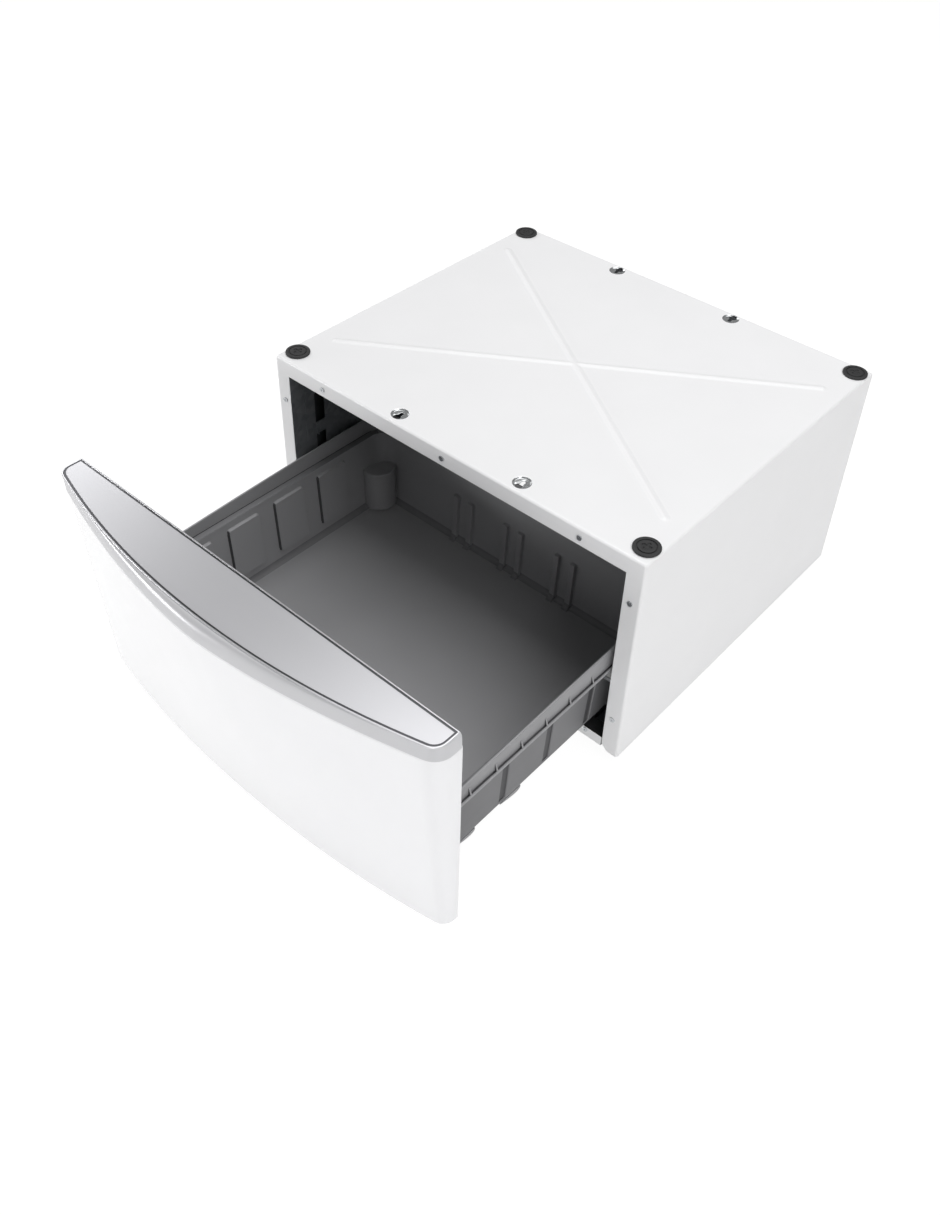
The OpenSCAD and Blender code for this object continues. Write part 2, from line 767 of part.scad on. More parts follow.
// Pins welded to the cabinet rails' webs
module cabinet_roller_pins() {
    color("silver") for (s = [LEFT, RIGHT]) on_side(s) {
        y = front_roller_y;
        z = front_roller_z;
        bar_x([front_roller_x0 - run_gap, y, z], pin_r, rail_in_x - front_roller_x0 + run_gap);
        bar_x([front_roller_x1 + run_gap, y, z], pin_head_d / 2, rail_in_x - front_roller_x1 - run_gap);
        bar_x([front_roller_x0 - run_gap - pin_head_h, y, z], pin_head_d / 2, pin_head_h);
    }
}

// Pins riveted to the drawer runners' legs
module drawer_roller_pins() {
    color("silver") for (s = [LEFT, RIGHT]) on_side(s) {
        y = rear_roller_y;
        z = rear_roller_z;
        bar_x([leg_x, y, z], pin_r, rear_roller_x1 + run_gap - leg_x);
        bar_x([leg_x, y, z], pin_head_d / 2, rear_roller_x0 - run_gap - leg_x);
        bar_x([rear_roller_x1 + run_gap, y, z], pin_head_d / 2, pin_head_h);
    }
}

// The drawer's runner: an angle under the tub's ledge
module drawer_runner() {
    y0 = front_y + closed_gap;
    y1 = rear_roller_y + rear_roller_d / 2 - run_gap * 2;
    difference() {
        union() {
            box([wall_x, y0, under_ledge_z - rail_t], [ledge_x - sheet_t, y1, under_ledge_z]);
            box([wall_x, y0, slide_z], [leg_x, y1, under_ledge_z]);
        }
        at_runner_screws() bar_x([-rail_t - over, 0, 0], hole_r, rail_t + over * 2);
    }
}

// Places its children on the outer face of a right runner's leg
module at_runner_screws() {
    for (share = runner_screw_shares)
        translate([leg_x, front_y + tub_len * share, slide_z + rail_h * runner_screw_z_share]) children();
}

module drawer_runner_left() { color("silver") on_side(LEFT) drawer_runner(); }
module drawer_runner_right() { color("silver") on_side(RIGHT) drawer_runner(); }

runner_screw_l = rail_t + tub_wall;

module runner_screws() {
    color("silver") for (s = [LEFT, RIGHT])
        on_side(s) at_runner_screws() facing_out() screw(len = runner_screw_l);
}

/* Tub */

// Profile with sides that lean in towards a rounded bottom; half is the half
// width at the upper end, and the profile runs from z0 to z1
module lean_profile(half, z0, z1, r) {
    lean = tub_draft * (z1 - z0) / (under_ledge_z - tub_z);
    side_l = norm([lean, z1 - z0]);
    foot_half = half - lean;
    centre_x = foot_half - r * (side_l - lean) / (z1 - z0);
    touch_x = centre_x + r * (z1 - z0) / side_l;
    touch_z = z0 + r - r * lean / side_l;
    polygon([
        [centre_x, z0], [touch_x, touch_z], [half, z1],
        [-half, z1], [-touch_x, touch_z], [-centre_x, z0]
    ]);
    for (s = [-1, 1]) translate([s * centre_x, z0 + r]) circle(r = r);
}

// Plan of the tub: straight sides, square front and round rear corners
module plan_solid(half, y1, z0, z1, r, y0 = front_y) {
    box([-half, y0, z0], [half, y1 - r, z1]);
    box([r - half, y0, z0], [half - r, y1, z1]);
    for (s = [LEFT, RIGHT]) translate([s * (half - r), y1 - r, z0]) cylinder(h = z1 - z0, r = r);
}

// The space inside the tub's drafted walls, drawn in by inset
module core(inset, z0, y0, z1 = under_ledge_z) {
    r = tub_floor_r - inset;
    y1 = tub_back_y - inset;
    intersection() {
        translate([0, y1 + over, 0])
            rotate([90, 0, 0])
                linear_extrude(height = y1 - y0 + over) lean_profile(wall_x - inset, z0, z1, r);
        translate([-wall_x, y1 - tub_len, 0])
            rotate([90, 0, 90])
                linear_extrude(height = wall_x * 2) lean_profile(tub_len, z0, z1, r);
        plan_solid(wall_x - inset, y1, z0, z1, tub_corner_r - inset, y0);
    }
}

// A layer of the given thickness on the inside of the drafted walls
module wall_layer(thick) {
    difference() {
        core(tub_wall - slice, tub_z + tub_wall / 2, front_y + tub_wall / 2);
        core(tub_wall + thick, tub_z + tub_wall / 2, front_y);
    }
}

module tub_posts(grow, z0, z1) {
    for (s = [LEFT, RIGHT])
        translate([s * post_x, tub_back_y - post_back, z0]) cylinder(h = z1 - z0, r = post_d / 2 + grow);
}

floor_z = tub_z + tub_wall;
rim_step = rim_x - wall_x;
rim_back_y = tub_back_y + rim_step;
rim_corner_r = tub_corner_r + rim_step;
rim_drop = rim_back_z - rim_front_z;
rim_len = rim_back_y - front_y;
rim_arc_r = (rim_len * rim_len + rim_drop * rim_drop) / (rim_drop * 2);
panel_count = 3;
groove_count = 4;
gusset_count = floor((tub_len - gusset_first - tub_corner_r) / gusset_pitch) + 1;
post_top_z = low_z + post_top_h;

module drawer_tub() {
    color("dimgray") difference() {
        union() {
            tub_shell();
            intersection() {
                wall_layer(panel_proud);
                for (i = [0:panel_count - 1])
                    box([-wall_x, front_y + panel_first + panel_pitch * i, floor_z - slice],
                        [wall_x, front_y + panel_first + panel_pitch * i + panel_w, low_z + panel_top_h]);
            }
            intersection() {
                wall_layer(rib_proud);
                for (i = [-1, 0, 1])
                    for (s = [LEFT, RIGHT])
                        translate([rib_pitch * i + s * rib_space / 2, 0, 0])
                            box([-rib_w / 2, tub_back_y - post_back, floor_z - slice],
                                [rib_w / 2, tub_back_y, low_z + rib_top_h]);
            }
            intersection() {
                core(tub_wall / 2, tub_z + tub_wall / 2, front_y);
                tub_posts(0, tub_z + tub_wall / 2, post_top_z);
            }
            for (s = [LEFT, RIGHT]) on_side(s) {
                ledge_gussets();
                side_skids();
            }
        }
        // the posts are hollow from below
        intersection() {
            core(tub_wall, tub_z - over, front_y);
            tub_posts(-tub_wall, tub_z - over, post_top_z - tub_wall);
        }
        for (s = [LEFT, RIGHT])
            on_side(s) at_runner_screws() bar_x([-runner_screw_l, 0, 0], hole_r, runner_screw_l);
        at_tub_screws() bar_y([0, over, 0], hole_r, tub_wall + over * 2);
        tub_grooves();
    }
}

// The drafted shell, its side ledge and its upright rim
module tub_shell() {
    difference() {
        union() {
            core(0, tub_z, front_y);
            plan_solid(ledge_x, rim_back_y + ledge_x - rim_x, under_ledge_z, ledge_z,
                rim_corner_r + ledge_x - rim_x);
            intersection() {
                plan_solid(rim_x, rim_back_y, under_ledge_z, rim_back_z, rim_corner_r);
                translate([-rim_x, rim_back_y, rim_back_z - rim_arc_r])
                    rotate([0, 90, 0]) cylinder(h = rim_x * 2, r = rim_arc_r, $fn = rim_arc_sides);
            }
        }
        core(tub_wall, floor_z, front_y + tub_wall, ledge_z);
        rim_space();
    }
}

// The space inside the rim, with a slope down to the drafted walls
module rim_space() {
    slope_top_z = ledge_z + tub_wall * 2;
    low_half = wall_x - tub_wall;
    high_half = rim_x - tub_wall * 2;
    full_half = rim_x - tub_wall;
    low_y = tub_back_y - tub_wall;
    high_y = rim_back_y - tub_wall * 2;
    full_y = rim_back_y - tub_wall;
    intersection() {
        translate([0, rim_back_y, 0])
            rotate([90, 0, 0])
                linear_extrude(height = rim_len - tub_wall)
                    polygon([
                        [-low_half, ledge_z - slice], [low_half, ledge_z - slice], [high_half, slope_top_z],
                        [full_half, slope_top_z], [full_half, rim_back_z + over],
                        [-full_half, rim_back_z + over], [-full_half, slope_top_z], [-high_half, slope_top_z]
                    ]);
        translate([-rim_x, 0, 0])
            rotate([90, 0, 90])
                linear_extrude(height = rim_x * 2)
                    polygon([
                        [front_y + tub_wall, ledge_z - slice], [low_y, ledge_z - slice],
                        [high_y, slope_top_z], [full_y, slope_top_z],
                        [full_y, rim_back_z + over], [front_y + tub_wall, rim_back_z + over]
                    ]);
        plan_solid(full_half, full_y, ledge_z - slice, rim_back_z + over, rim_corner_r - tub_wall);
    }
}

module ledge_gussets() {
    for (i = [0:gusset_count - 1])
        translate([rim_x, front_y + gusset_first + gusset_pitch * i + gusset_t / 2, ledge_z])
            rotate([90, 0, 0])
                linear_extrude(height = gusset_t)
                    polygon([
                        [-slice, -slice], [ledge_x - rim_x, -slice],
                        [ledge_x - rim_x, 0], [-slice, gusset_h]
                    ]);
}

module side_skids() {
    foot_half = wall_x - tub_draft;
    for (i = [0, 1])
        intersection() {
            bar_x([foot_half - tub_floor_r - skid_w, front_y + skid_first + groove_pitch * i,
                tub_z - skid_drop + skid_r], skid_r, skid_w);
            box([0, front_y, tub_z - skid_drop - over], [wall_x, tub_back_y, tub_z + tub_wall / 2]);
        }
}

module tub_grooves() {
    difference() {
        for (i = [0:groove_count - 1])
            box([-wall_x - over, front_y + groove_first + groove_pitch * i, tub_z + tub_floor_r],
                [wall_x + over, front_y + groove_first + groove_pitch * i + groove_w, slide_z - rail_t]);
        core(groove_depth, tub_z, front_y - over);
    }
}

/* Front */

// Depth of the front at one place along its width
function bow(x, half, depth, sag, power) = -depth + sag * pow(abs(x) / half, power);
function bow_slope(x, half, sag, power) = sag * power / half * pow(abs(x) / half, power - 1);

// Outline of the front in plan: a straight back, round corners and a bowed front
function front_outline(half, back, depth, sag, power, r) =
    let (
        turn = atan(bow_slope(half - r, half, sag, power)),
        end_x = half - r + r * sin(turn),
        centre_y = bow(end_x, half, depth, sag, power) + r * cos(turn)
    )
    concat(
        [[-half, back]],
        [for (i = [0:corner_steps]) let (a = (90 - turn) * i / corner_steps)
            [r - half - r * cos(a), centre_y - r * sin(a)]],
        [for (i = [1:bow_steps * 2 - 1]) let (x = -end_x + end_x * i / bow_steps)
            [x, bow(x, half, depth, sag, power)]],
        [for (i = [0:corner_steps]) let (a = (90 - turn) * (1 - i / corner_steps))
            [half - r + r * cos(a), centre_y - r * sin(a)]],
        [[half, back]]
    );

// A thin slice of the front panel drawn in by inset, at the lower or upper end
module low_slice(inset, back, z) {
    translate([0, panel_y, z]) linear_extrude(height = slice)
        polygon(front_outline(panel_half - inset, back, bow_low - inset, sag_low, bow_power_low,
            front_corner_r - inset));
}

module top_slice(inset, back, z) {
    translate([0, panel_y, z]) linear_extrude(height = slice)
        polygon(front_outline(panel_half - inset, back, bow_top - inset, sag_top, bow_power_top,
            front_corner_r - inset));
}

module front_panel() {
    color("white") difference() {
        hull() {
            low_slice(0, 0, low_z);
            top_slice(0, 0, panel_top_z - panel_round);
            top_slice(panel_round_in, 0, panel_top_z - slice);
        }
        hull() {
            low_slice(panel_wall, -panel_wall, low_z + panel_wall);
            top_slice(panel_wall, -panel_wall, panel_top_z - panel_round);
            top_slice(panel_wall + panel_round_in, -panel_wall, panel_top_z - panel_wall);
        }
        // open back inside the folded edge
        box([panel_return - panel_half, panel_y - panel_wall - over, low_z + panel_return],
            [panel_half - panel_return, panel_y + over, panel_top_z - panel_return]);
        at_plate_screws() bar_y([0, over, 0], hole_r, screw_l + over);
        at_cap_screws() translate([0, 0, -panel_wall - over]) cylinder(h = panel_wall + over * 2, r = hole_r);
    }
}

module front_back_plate() {
    color("gray") difference() {
        box([plate_edge - panel_half, panel_y, low_z + plate_edge],
            [panel_half - plate_edge, front_y, panel_top_z - plate_edge]);
        at_plate_screws() bar_y([0, over, 0], hole_r, plate_t + over * 2);
        at_tub_screws() bar_y([0, over, 0], hole_r, tub_wall + plate_t + over * 2);
    }
}

// Places its children at the plate's edge screws, on its rear face
module at_plate_screws() {
    for (s = [LEFT, RIGHT])
        for (share = plate_screw_shares)
            translate([s * (panel_half - panel_return / 2 - panel_wall), front_y, low_z + panel_h * share])
                children();
}

// Places its children at the tub's front screws, on the wall's inner face
module at_tub_screws() {
    for (s = [LEFT, RIGHT])
        for (share = tub_screw_x_shares)
            for (up = tub_screw_z_shares)
                translate([s * wall_x * share, front_y + tub_wall, tub_z + (rim_front_z - tub_z) * up])
                    children();
}

// Places its children at the cap's screws, on the panel's upper face
module at_cap_screws() {
    for (s = [-1, 0, 1])
        translate([s * panel_half * cap_screw_share, panel_y - (bow_top - sag_top) * cap_screw_depth_share,
            panel_top_z]) children();
}

module cap_slice(inset, share, back_share) {
    translate([0, panel_y, panel_top_z + (cap_h - cap_plate_t) * share - (share > 0 ? slice : 0)])
        linear_extrude(height = slice)
            cap_outline(inset, back_share);
}

// Outline of the cap, from the band (share 0) to the top plate (share 1)
module cap_outline(inset, share) {
    polygon(front_outline(
        cap_half - cap_over * share - inset,
        -cap_back - inset,
        bow_top - cap_nose * share - inset,
        sag_top + (cap_sag - sag_top) * share,
        bow_power_top + (bow_power_cap - bow_power_top) * share,
        front_corner_r - inset
    ));
}

module cap_body() {
    color("lightgray") difference() {
        hull() for (s = cap_nose_shares) cap_slice(0, s[0], s[1]);
        difference() {
            translate([0, 0, -cap_wall]) hull() for (s = cap_nose_shares) cap_slice(cap_wall, s[0], s[1]);
            at_cap_screws() cylinder(h = cap_h, d = screw_head_d);
        }
        at_cap_screws() translate([0, 0, -over]) cylinder(h = screw_l + over, r = hole_r);
    }
}

module cap_plate() {
    color("silver") translate([0, panel_y, cap_top_z])
        linear_extrude(height = cap_plate_t) cap_outline(trim_w, 1);
}

module cap_trim() {
    color("gainsboro") translate([0, panel_y, cap_top_z])
        difference() {
            linear_extrude(height = cap_plate_t + trim_h) cap_outline(0, 1);
            translate([0, 0, -over]) linear_extrude(height = cap_plate_t + over * 2) cap_outline(trim_w, 1);
        }
}

module front_bumpers() {
    thick = closed_gap - run_gap;
    bumper_x = half_w - side_flange_w / 2;
    color("black") for (s = [LEFT, RIGHT])
        for (share = bumper_shares)
            bar_y([s * bumper_x, front_y + thick, low_z + panel_h * share], bumper_d / 2, thick);
}

/* Pads, feet and screws */

module top_pad(side, end) {
    ring_r = pad_d / 2 - pad_ring_w;
    color("black") translate([side * pad_x, pad_y(end), top_z]) {
        difference() {
            cylinder(h = pad_h, d = pad_d);
            // shallow ring groove inside the rim
            translate([0, 0, pad_h - pad_recess])
                difference() {
                    cylinder(h = pad_h, r = ring_r);
                    cylinder(h = pad_h, r = ring_r - pad_recess);
                }
            // four-lobed recess in the middle
            translate([0, 0, pad_h - pad_recess]) {
                for (turn = [0:90:270])
                    rotate([0, 0, turn]) translate([pad_lobe_d, 0, 0]) cylinder(h = pad_h, d = pad_lobe_d);
                cylinder(h = pad_h, d = pad_lobe_d + pad_recess);
            }
        }
        translate([0, 0, -pad_stem_l]) cylinder(h = pad_stem_l, r = pad_stem_r);
    }
}

module pad_front_left() { top_pad(LEFT, FRONT); }
module pad_front_right() { top_pad(RIGHT, FRONT); }
module pad_back_left() { top_pad(LEFT, BACK); }
module pad_back_right() { top_pad(RIGHT, BACK); }

nut_z = low_z + sheet_t + brace_t;

module foot_nuts() {
    color("silver") for (s = [LEFT, RIGHT])
        for (end = [FRONT, BACK])
            translate([s * foot_x, end * foot_y, nut_z])
                difference() {
                    cylinder(h = nut_h, r = nut_w / 2 / cos(30), $fn = 6);
                    translate([0, 0, -over]) cylinder(h = nut_h + over * 2, d = stem_d + pin_play * 2);
                }
}

module foot(side, end) {
    translate([side * foot_x, end * foot_y, 0]) {
        color("black") {
            cylinder(h = foot_base_h, d = foot_d);
            cylinder(h = foot_h, d = foot_neck_d);
        }
        color("silver") translate([0, 0, foot_h]) cylinder(h = nut_z + nut_h + stem_l - foot_h, d = stem_d);
    }
}

module foot_front_left() { foot(LEFT, FRONT); }
module foot_front_right() { foot(RIGHT, FRONT); }
module foot_back_left() { foot(LEFT, BACK); }
module foot_back_right() { foot(RIGHT, BACK); }

module front_flange_screws() {
    color("silver") at_front_screws() facing_front() screw();
}

module bottom_rail_screws() {
    color("silver") for (s = [LEFT, RIGHT]) {
        translate([s * bottom_screw_x, brace_t - half_d, bottom_screw_z]) facing_front() screw();
        translate([s * bottom_screw_x, half_d - brace_t, bottom_screw_z]) facing_back() screw();
    }
}

module rear_panel_screws() {
    color("silver") at_rear_screws() facing_back() screw();
}

module tub_screws() {
    color("silver") at_tub_screws() facing_back() screw();
}

module back_plate_screws() {
    color("silver") at_plate_screws() facing_back() screw();
}

module cap_screws() {
    color("silver") at_cap_screws() translate([0, 0, -panel_wall]) facing_down() screw();
}

cabinet_wrapper();
rear_panel();
front_bottom_rail();
rear_bottom_rail();
front_top_brace();
rear_top_brace();
base_rail_left();
base_rail_right();
side_bracket_left();
side_bracket_right();
cabinet_rail_left();
cabinet_rail_right();
cabinet_roller_pins();
cabinet_roller_left();
cabinet_roller_right();
pad_front_left();
pad_front_right();
pad_back_left();
pad_back_right();
foot_nuts();
foot_front_left();
foot_front_right();
foot_back_left();
foot_back_right();
front_flange_screws();
bottom_rail_screws();
rear_panel_screws();
drawer_tub();
front_panel();
front_back_plate();
cap_body();
cap_plate();
cap_trim();
drawer_runner_left();
drawer_runner_right();
drawer_roller_pins();
drawer_roller_left();
drawer_roller_right();
front_bumpers();
tub_screws();
back_plate_screws();
runner_screws();
cap_screws();
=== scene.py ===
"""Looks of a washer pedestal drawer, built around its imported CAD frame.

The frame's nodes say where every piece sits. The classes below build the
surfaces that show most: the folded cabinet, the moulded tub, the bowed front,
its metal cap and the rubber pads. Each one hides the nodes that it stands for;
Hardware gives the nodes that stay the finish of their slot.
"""

import json
import logging
import math
from dataclasses import dataclass, field
from enum import Enum
from typing import Iterable, Optional, Sequence

import bmesh
import bpy
from bmesh.types import BMesh, BMFace, BMVert
from bpy.types import Material, Node, NodeSocket, NodeTree, Object
from mathutils import Matrix, Vector
from mathutils.geometry import delaunay_2d_cdt


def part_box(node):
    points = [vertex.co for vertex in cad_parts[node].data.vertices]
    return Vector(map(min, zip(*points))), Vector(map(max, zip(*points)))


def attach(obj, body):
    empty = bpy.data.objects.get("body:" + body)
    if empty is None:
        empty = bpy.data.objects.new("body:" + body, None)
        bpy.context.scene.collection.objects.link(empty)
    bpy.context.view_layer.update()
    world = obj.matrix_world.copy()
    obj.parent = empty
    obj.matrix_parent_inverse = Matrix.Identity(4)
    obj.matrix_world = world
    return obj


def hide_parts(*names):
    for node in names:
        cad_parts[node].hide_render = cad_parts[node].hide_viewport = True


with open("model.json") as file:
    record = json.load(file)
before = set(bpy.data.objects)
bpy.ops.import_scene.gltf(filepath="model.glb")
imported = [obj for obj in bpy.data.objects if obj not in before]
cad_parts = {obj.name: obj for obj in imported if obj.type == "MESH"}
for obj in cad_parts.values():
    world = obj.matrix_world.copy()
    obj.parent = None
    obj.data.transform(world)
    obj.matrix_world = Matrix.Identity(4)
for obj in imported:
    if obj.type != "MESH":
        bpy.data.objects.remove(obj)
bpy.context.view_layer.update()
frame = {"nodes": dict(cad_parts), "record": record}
LOG = logging.getLogger("pedestal")
MM = 0.001
QUARTER = math.pi / 2
# Vertices closer than this, in metres, become one
WELD = 1e-6
# Angle over which an edge stays sharp
SHARP_DEG = 38.0


class Side(Enum):
    """The two sides of the object, as signs of x."""

    LEFT = -1
    RIGHT = 1


# Materials


def srgb(code: str) -> tuple[float, float, float, float]:
    """Turn an sRGB hex code into a linear colour.

    Args:
        code: Colour such as "#f1f1f2".

    Returns:
        Linear red, green, blue and an alpha of one.
    """
    parts = [int(code[i:i + 2], 16) / 255 for i in (1, 3, 5)]
    linear = [c / 12.92 if c <= 0.04045 else ((c + 0.055) / 1.055) ** 2.4 for c in parts]
    return (*linear, 1.0)


def add_node(
    tree: NodeTree, kind: str, links: Optional[dict[str, NodeSocket]] = None, **settings: object
) -> Node:
    """Add one shader node with its settings and links.

    Args:
        tree: Node tree that receives the node.
        kind: Blender's name of the node type.
        links: Sources by the name or number of the input that they feed.
        settings: Attributes in lower case, inputs with a capital and _ for a space.

    Returns:
        The new node.
    """
    node = tree.nodes.new(kind)
    for key, value in settings.items():
        if key[0].isupper():
            node.inputs[key.replace("_", " ")].default_value = value
        else:
            setattr(node, key, value)
    for key, source in (links or {}).items():
        tree.links.new(source, node.inputs[int(key) if key.isdigit() else key])
    return node

# Sockets of the Mix node that carry colours: two inputs and the output
MIX_DARK, MIX_LIGHT, MIX_RESULT = 6, 7, 2
COAT_ROUGH = 0.06
NOISE_ROUGH = 0.55
# Patches of roughness are this many times smaller than those of colour
ROUGH_PATCHES = 3
@dataclass(frozen=True)
class Finish:
    """A finish with a plain body colour that wanders a little over the piece."""

    name: str
    light: str
    dark: str
    rough: float
    rough_spread: float = 0.04
    patch_mm: float = 90.0
    metallic: float = 0.0
    coat: float = 0.0
    ior: float = 1.5
    stretch: tuple[float, float, float] = (1.0, 1.0, 1.0)

    def noise(self, tree: NodeTree, size_mm: float, detail: float = 2.0) -> NodeSocket:
        """Add a noise of one feature size on the piece's own coordinates.

        Args:
            tree: Node tree of the material.
            size_mm: Size of one feature in millimetres.
            detail: Octaves of finer noise.

        Returns:
            The noise value.
        """
        place = add_node(tree, "ShaderNodeTexCoord")
        turned = add_node(
            tree, "ShaderNodeMapping", {"Vector": place.outputs["Object"]}, Scale=self.stretch
        )
        cloud = add_node(
            tree, "ShaderNodeTexNoise", {"Vector": turned.outputs["Vector"]},
            Scale=1 / (size_mm * MM), Detail=detail, Roughness=NOISE_ROUGH,
        )
        return cloud.outputs["Fac"]

    def blend(self, tree: NodeTree, share: NodeSocket) -> NodeSocket:
        """Mix the two body colours.

        Args:
            tree: Node tree of the material.
            share: Share of the light colour.

        Returns:
            The body colour.
        """
        mix = add_node(tree, "ShaderNodeMix", {"0": share}, data_type="RGBA")
        mix.inputs[MIX_DARK].default_value = srgb(self.dark)
        mix.inputs[MIX_LIGHT].default_value = srgb(self.light)
        return mix.outputs[MIX_RESULT]

    def tone(self, tree: NodeTree) -> NodeSocket:
        """Mix the body colour by large soft patches."""
        return self.blend(tree, self.noise(tree, self.patch_mm))

    def relief(self, tree: NodeTree) -> Optional[NodeSocket]:
        """Give the surface's fine relief as a normal, or None where it is plain."""
        return None

    def bump(self, tree: NodeTree, height: NodeSocket, depth_mm: float, share: float) -> NodeSocket:
        """Turn a height into a normal.

        Args:
            tree: Node tree of the material.
            height: Height from 0 to 1.
            depth_mm: Real depth of the relief.
            share: Strength of the bump.

        Returns:
            The normal.
        """
        node = add_node(
            tree, "ShaderNodeBump", {"Height": height}, Strength=share, Distance=depth_mm * MM
        )
        return node.outputs["Normal"]

    def make(self) -> Material:
        """Build the material once and return it.

        Returns:
            The finished material.
        """
        known = bpy.data.materials.get(self.name)
        if known:
            return known
        material = bpy.data.materials.new(self.name)
        material.use_nodes = True
        tree = material.node_tree
        shader = tree.nodes["Principled BSDF"]
        for socket, value in (("Metallic", self.metallic), ("Coat Weight", self.coat),
                              ("Coat Roughness", COAT_ROUGH), ("IOR", self.ior)):
            shader.inputs[socket].default_value = value
        tree.links.new(self.tone(tree), shader.inputs["Base Color"])
        spread = add_node(
            tree, "ShaderNodeMapRange", {"Value": self.noise(tree, self.patch_mm / ROUGH_PATCHES)},
            To_Min=self.rough - self.rough_spread, To_Max=self.rough + self.rough_spread,
        )
        tree.links.new(spread.outputs["Result"], shader.inputs["Roughness"])
        normal = self.relief(tree)
        if normal:
            tree.links.new(normal, shader.inputs["Normal"])
        return material


@dataclass(frozen=True)
class Enamel(Finish):
    """Baked enamel on sheet steel: a smooth skin with a faint orange peel."""

    peel_mm: float = 2.6
    peel_share: float = 0.05
    peel_deep: float = 0.05

    def relief(self, tree: NodeTree) -> NodeSocket:
        """Give the orange peel as a normal."""
        peel = self.noise(tree, self.peel_mm, detail=1.0)
        return self.bump(tree, peel, self.peel_deep, self.peel_share)


@dataclass(frozen=True)
class Moulded(Finish):
    """Moulded polypropylene or rubber: an even fine grain from the tool."""

    grain_mm: float = 1.1
    grain_share: float = 0.25
    grain_deep: float = 0.08

    def relief(self, tree: NodeTree) -> NodeSocket:
        """Give the moulded grain as a normal, drawn coarser than its real 0.4 mm."""
        grain = self.noise(tree, self.grain_mm, detail=3.0)
        return self.bump(tree, grain, self.grain_deep, self.grain_share)


@dataclass(frozen=True)
class Brushed(Finish):
    """Rolled or brushed metal: long hairlines along x."""

    line_mm: float = 1.0
    line_share: float = 0.06
    line_deep: float = 0.02

    def relief(self, tree: NodeTree) -> NodeSocket:
        """Give the hairlines as a normal."""
        return self.bump(tree, self.noise(tree, self.line_mm), self.line_deep, self.line_share)


@dataclass(frozen=True)
class Galvanised(Finish):
    """Hot-dipped sheet: dull flakes of zinc, each with its own grey."""

    flake_mm: float = 9.0

    def tone(self, tree: NodeTree) -> NodeSocket:
        """Mix the body colour by flakes.

        Args:
            tree: Node tree of the material.

        Returns:
            The body colour.
        """
        place = add_node(tree, "ShaderNodeTexCoord")
        flakes = add_node(
            tree, "ShaderNodeTexVoronoi", {"Vector": place.outputs["Object"]},
            Scale=1 / (self.flake_mm * MM),
        )
        level = add_node(tree, "ShaderNodeSeparateColor", {"Color": flakes.outputs["Color"]})
        return self.blend(tree, level.outputs["Red"])


# Baked white enamel: satin, with soft wide highlights
WHITE_ENAMEL = Enamel("white_baked_enamel", "#f2f2f3", "#eeeeef", 0.34, coat=0.15)
# Gloss enamel of the front: a wet, even coat with clear reflections
GLOSS_ENAMEL = Enamel("gloss_baked_enamel", "#f3f3f5", "#f0f0f2", 0.14, 0.02, coat=0.6,
                      peel_share=0.02)
# Moulded polypropylene: dark grey, half matt, broad sheen on rounded edges
TUB_PLASTIC = Moulded("moulded_polypropylene", "#98989a", "#929294", 0.5)
# The same plastic, darker and with a coarser grain: painted shade on groove floors, the ledge's
# channel and groove, gusset sides and the panels' front edges
DEEP_SHADE_PLASTIC = Moulded("deep_shade_polypropylene", "#4b4b4d", "#444446", 0.62, grain_share=0.4)
# The same plastic, a little darker and rougher: painted shade on the outside, the inner ledge and the
# floor's rounding
SOFT_SHADE_PLASTIC = Moulded("soft_shade_polypropylene", "#767678", "#707072", 0.56)
# Painted moulded band of the cap: silver grey, satin
BAND = Moulded("silver_moulded_band", "#cbcbcd", "#c5c5c8", 0.36, 0.03, metallic=0.25, coat=0.08,
               grain_share=0.05)
# Satin anodised aluminium: fine hairlines along the width
ALUMINIUM = Brushed("satin_anodised_aluminium", "#c9c9cc", "#c0c0c3", 0.36, 0.03, metallic=1.0,
                    stretch=(0.03, 1.0, 1.0))
# Bright trim: polished and plated
CHROME = Brushed("polished_trim", "#d6d6d9", "#cccccf", 0.32, 0.02, metallic=1.0, line_share=0.01)
# Dark plated metal in the joint between the trim and the plate: painted shade of the narrow gap
JOINT_SHADE_TRIM = Brushed("painted_shade_trim", "#5c5c5f", "#505053", 0.3, 0.04, metallic=1.0, line_share=0.01)
# Bright zinc on screws, rails and pins
ZINC = Brushed("bright_zinc_plate", "#cfd1d3", "#b4b7ba", 0.3, 0.08, 12.0, metallic=1.0)
# Dull galvanised sheet inside the cabinet
GALVANISED = Galvanised("galvanised_sheet", "#8d9093", "#7c7f83", 0.5, 0.1, 20.0, metallic=0.6)
# Sheet behind the enamel: a thin grey ground coat on dull zinc, made darker as painted shade inside
# the cabinet
INNER_SHADE_SHEET = Galvanised("shaded_ground_coat_sheet", "#505254", "#47494b", 0.55, 0.06, 20.0)
# Black on the front rail's faces that don't face the front: painted shade where the tub shadows the
# rail
RAIL_SHADE_BLACK = Enamel("painted_shade_black", "#242526", "#1e1f20", 0.55, peel_share=0.02)
# Bolt dishes: the coat is rubbed down to bright zinc
DISH_ZINC = Brushed("rubbed_zinc_dish", "#d8dadb", "#c2c4c6", 0.22, 0.05, 8.0, metallic=0.9)
# Moulded nylon rollers
NYLON = Moulded("moulded_nylon", "#8d8d8c", "#828281", 0.4, patch_mm=20.0, grain_share=0.1)
# Vulcanised rubber: deep grey, matt
RUBBER = Moulded("vulcanised_rubber", "#2b2b2c", "#232324", 0.62, patch_mm=12.0, grain_mm=0.8)
# Black nylon of the feet
FOOT_PLASTIC = Moulded("black_moulded_nylon", "#1d1d1e", "#171718", 0.45, patch_mm=20.0)

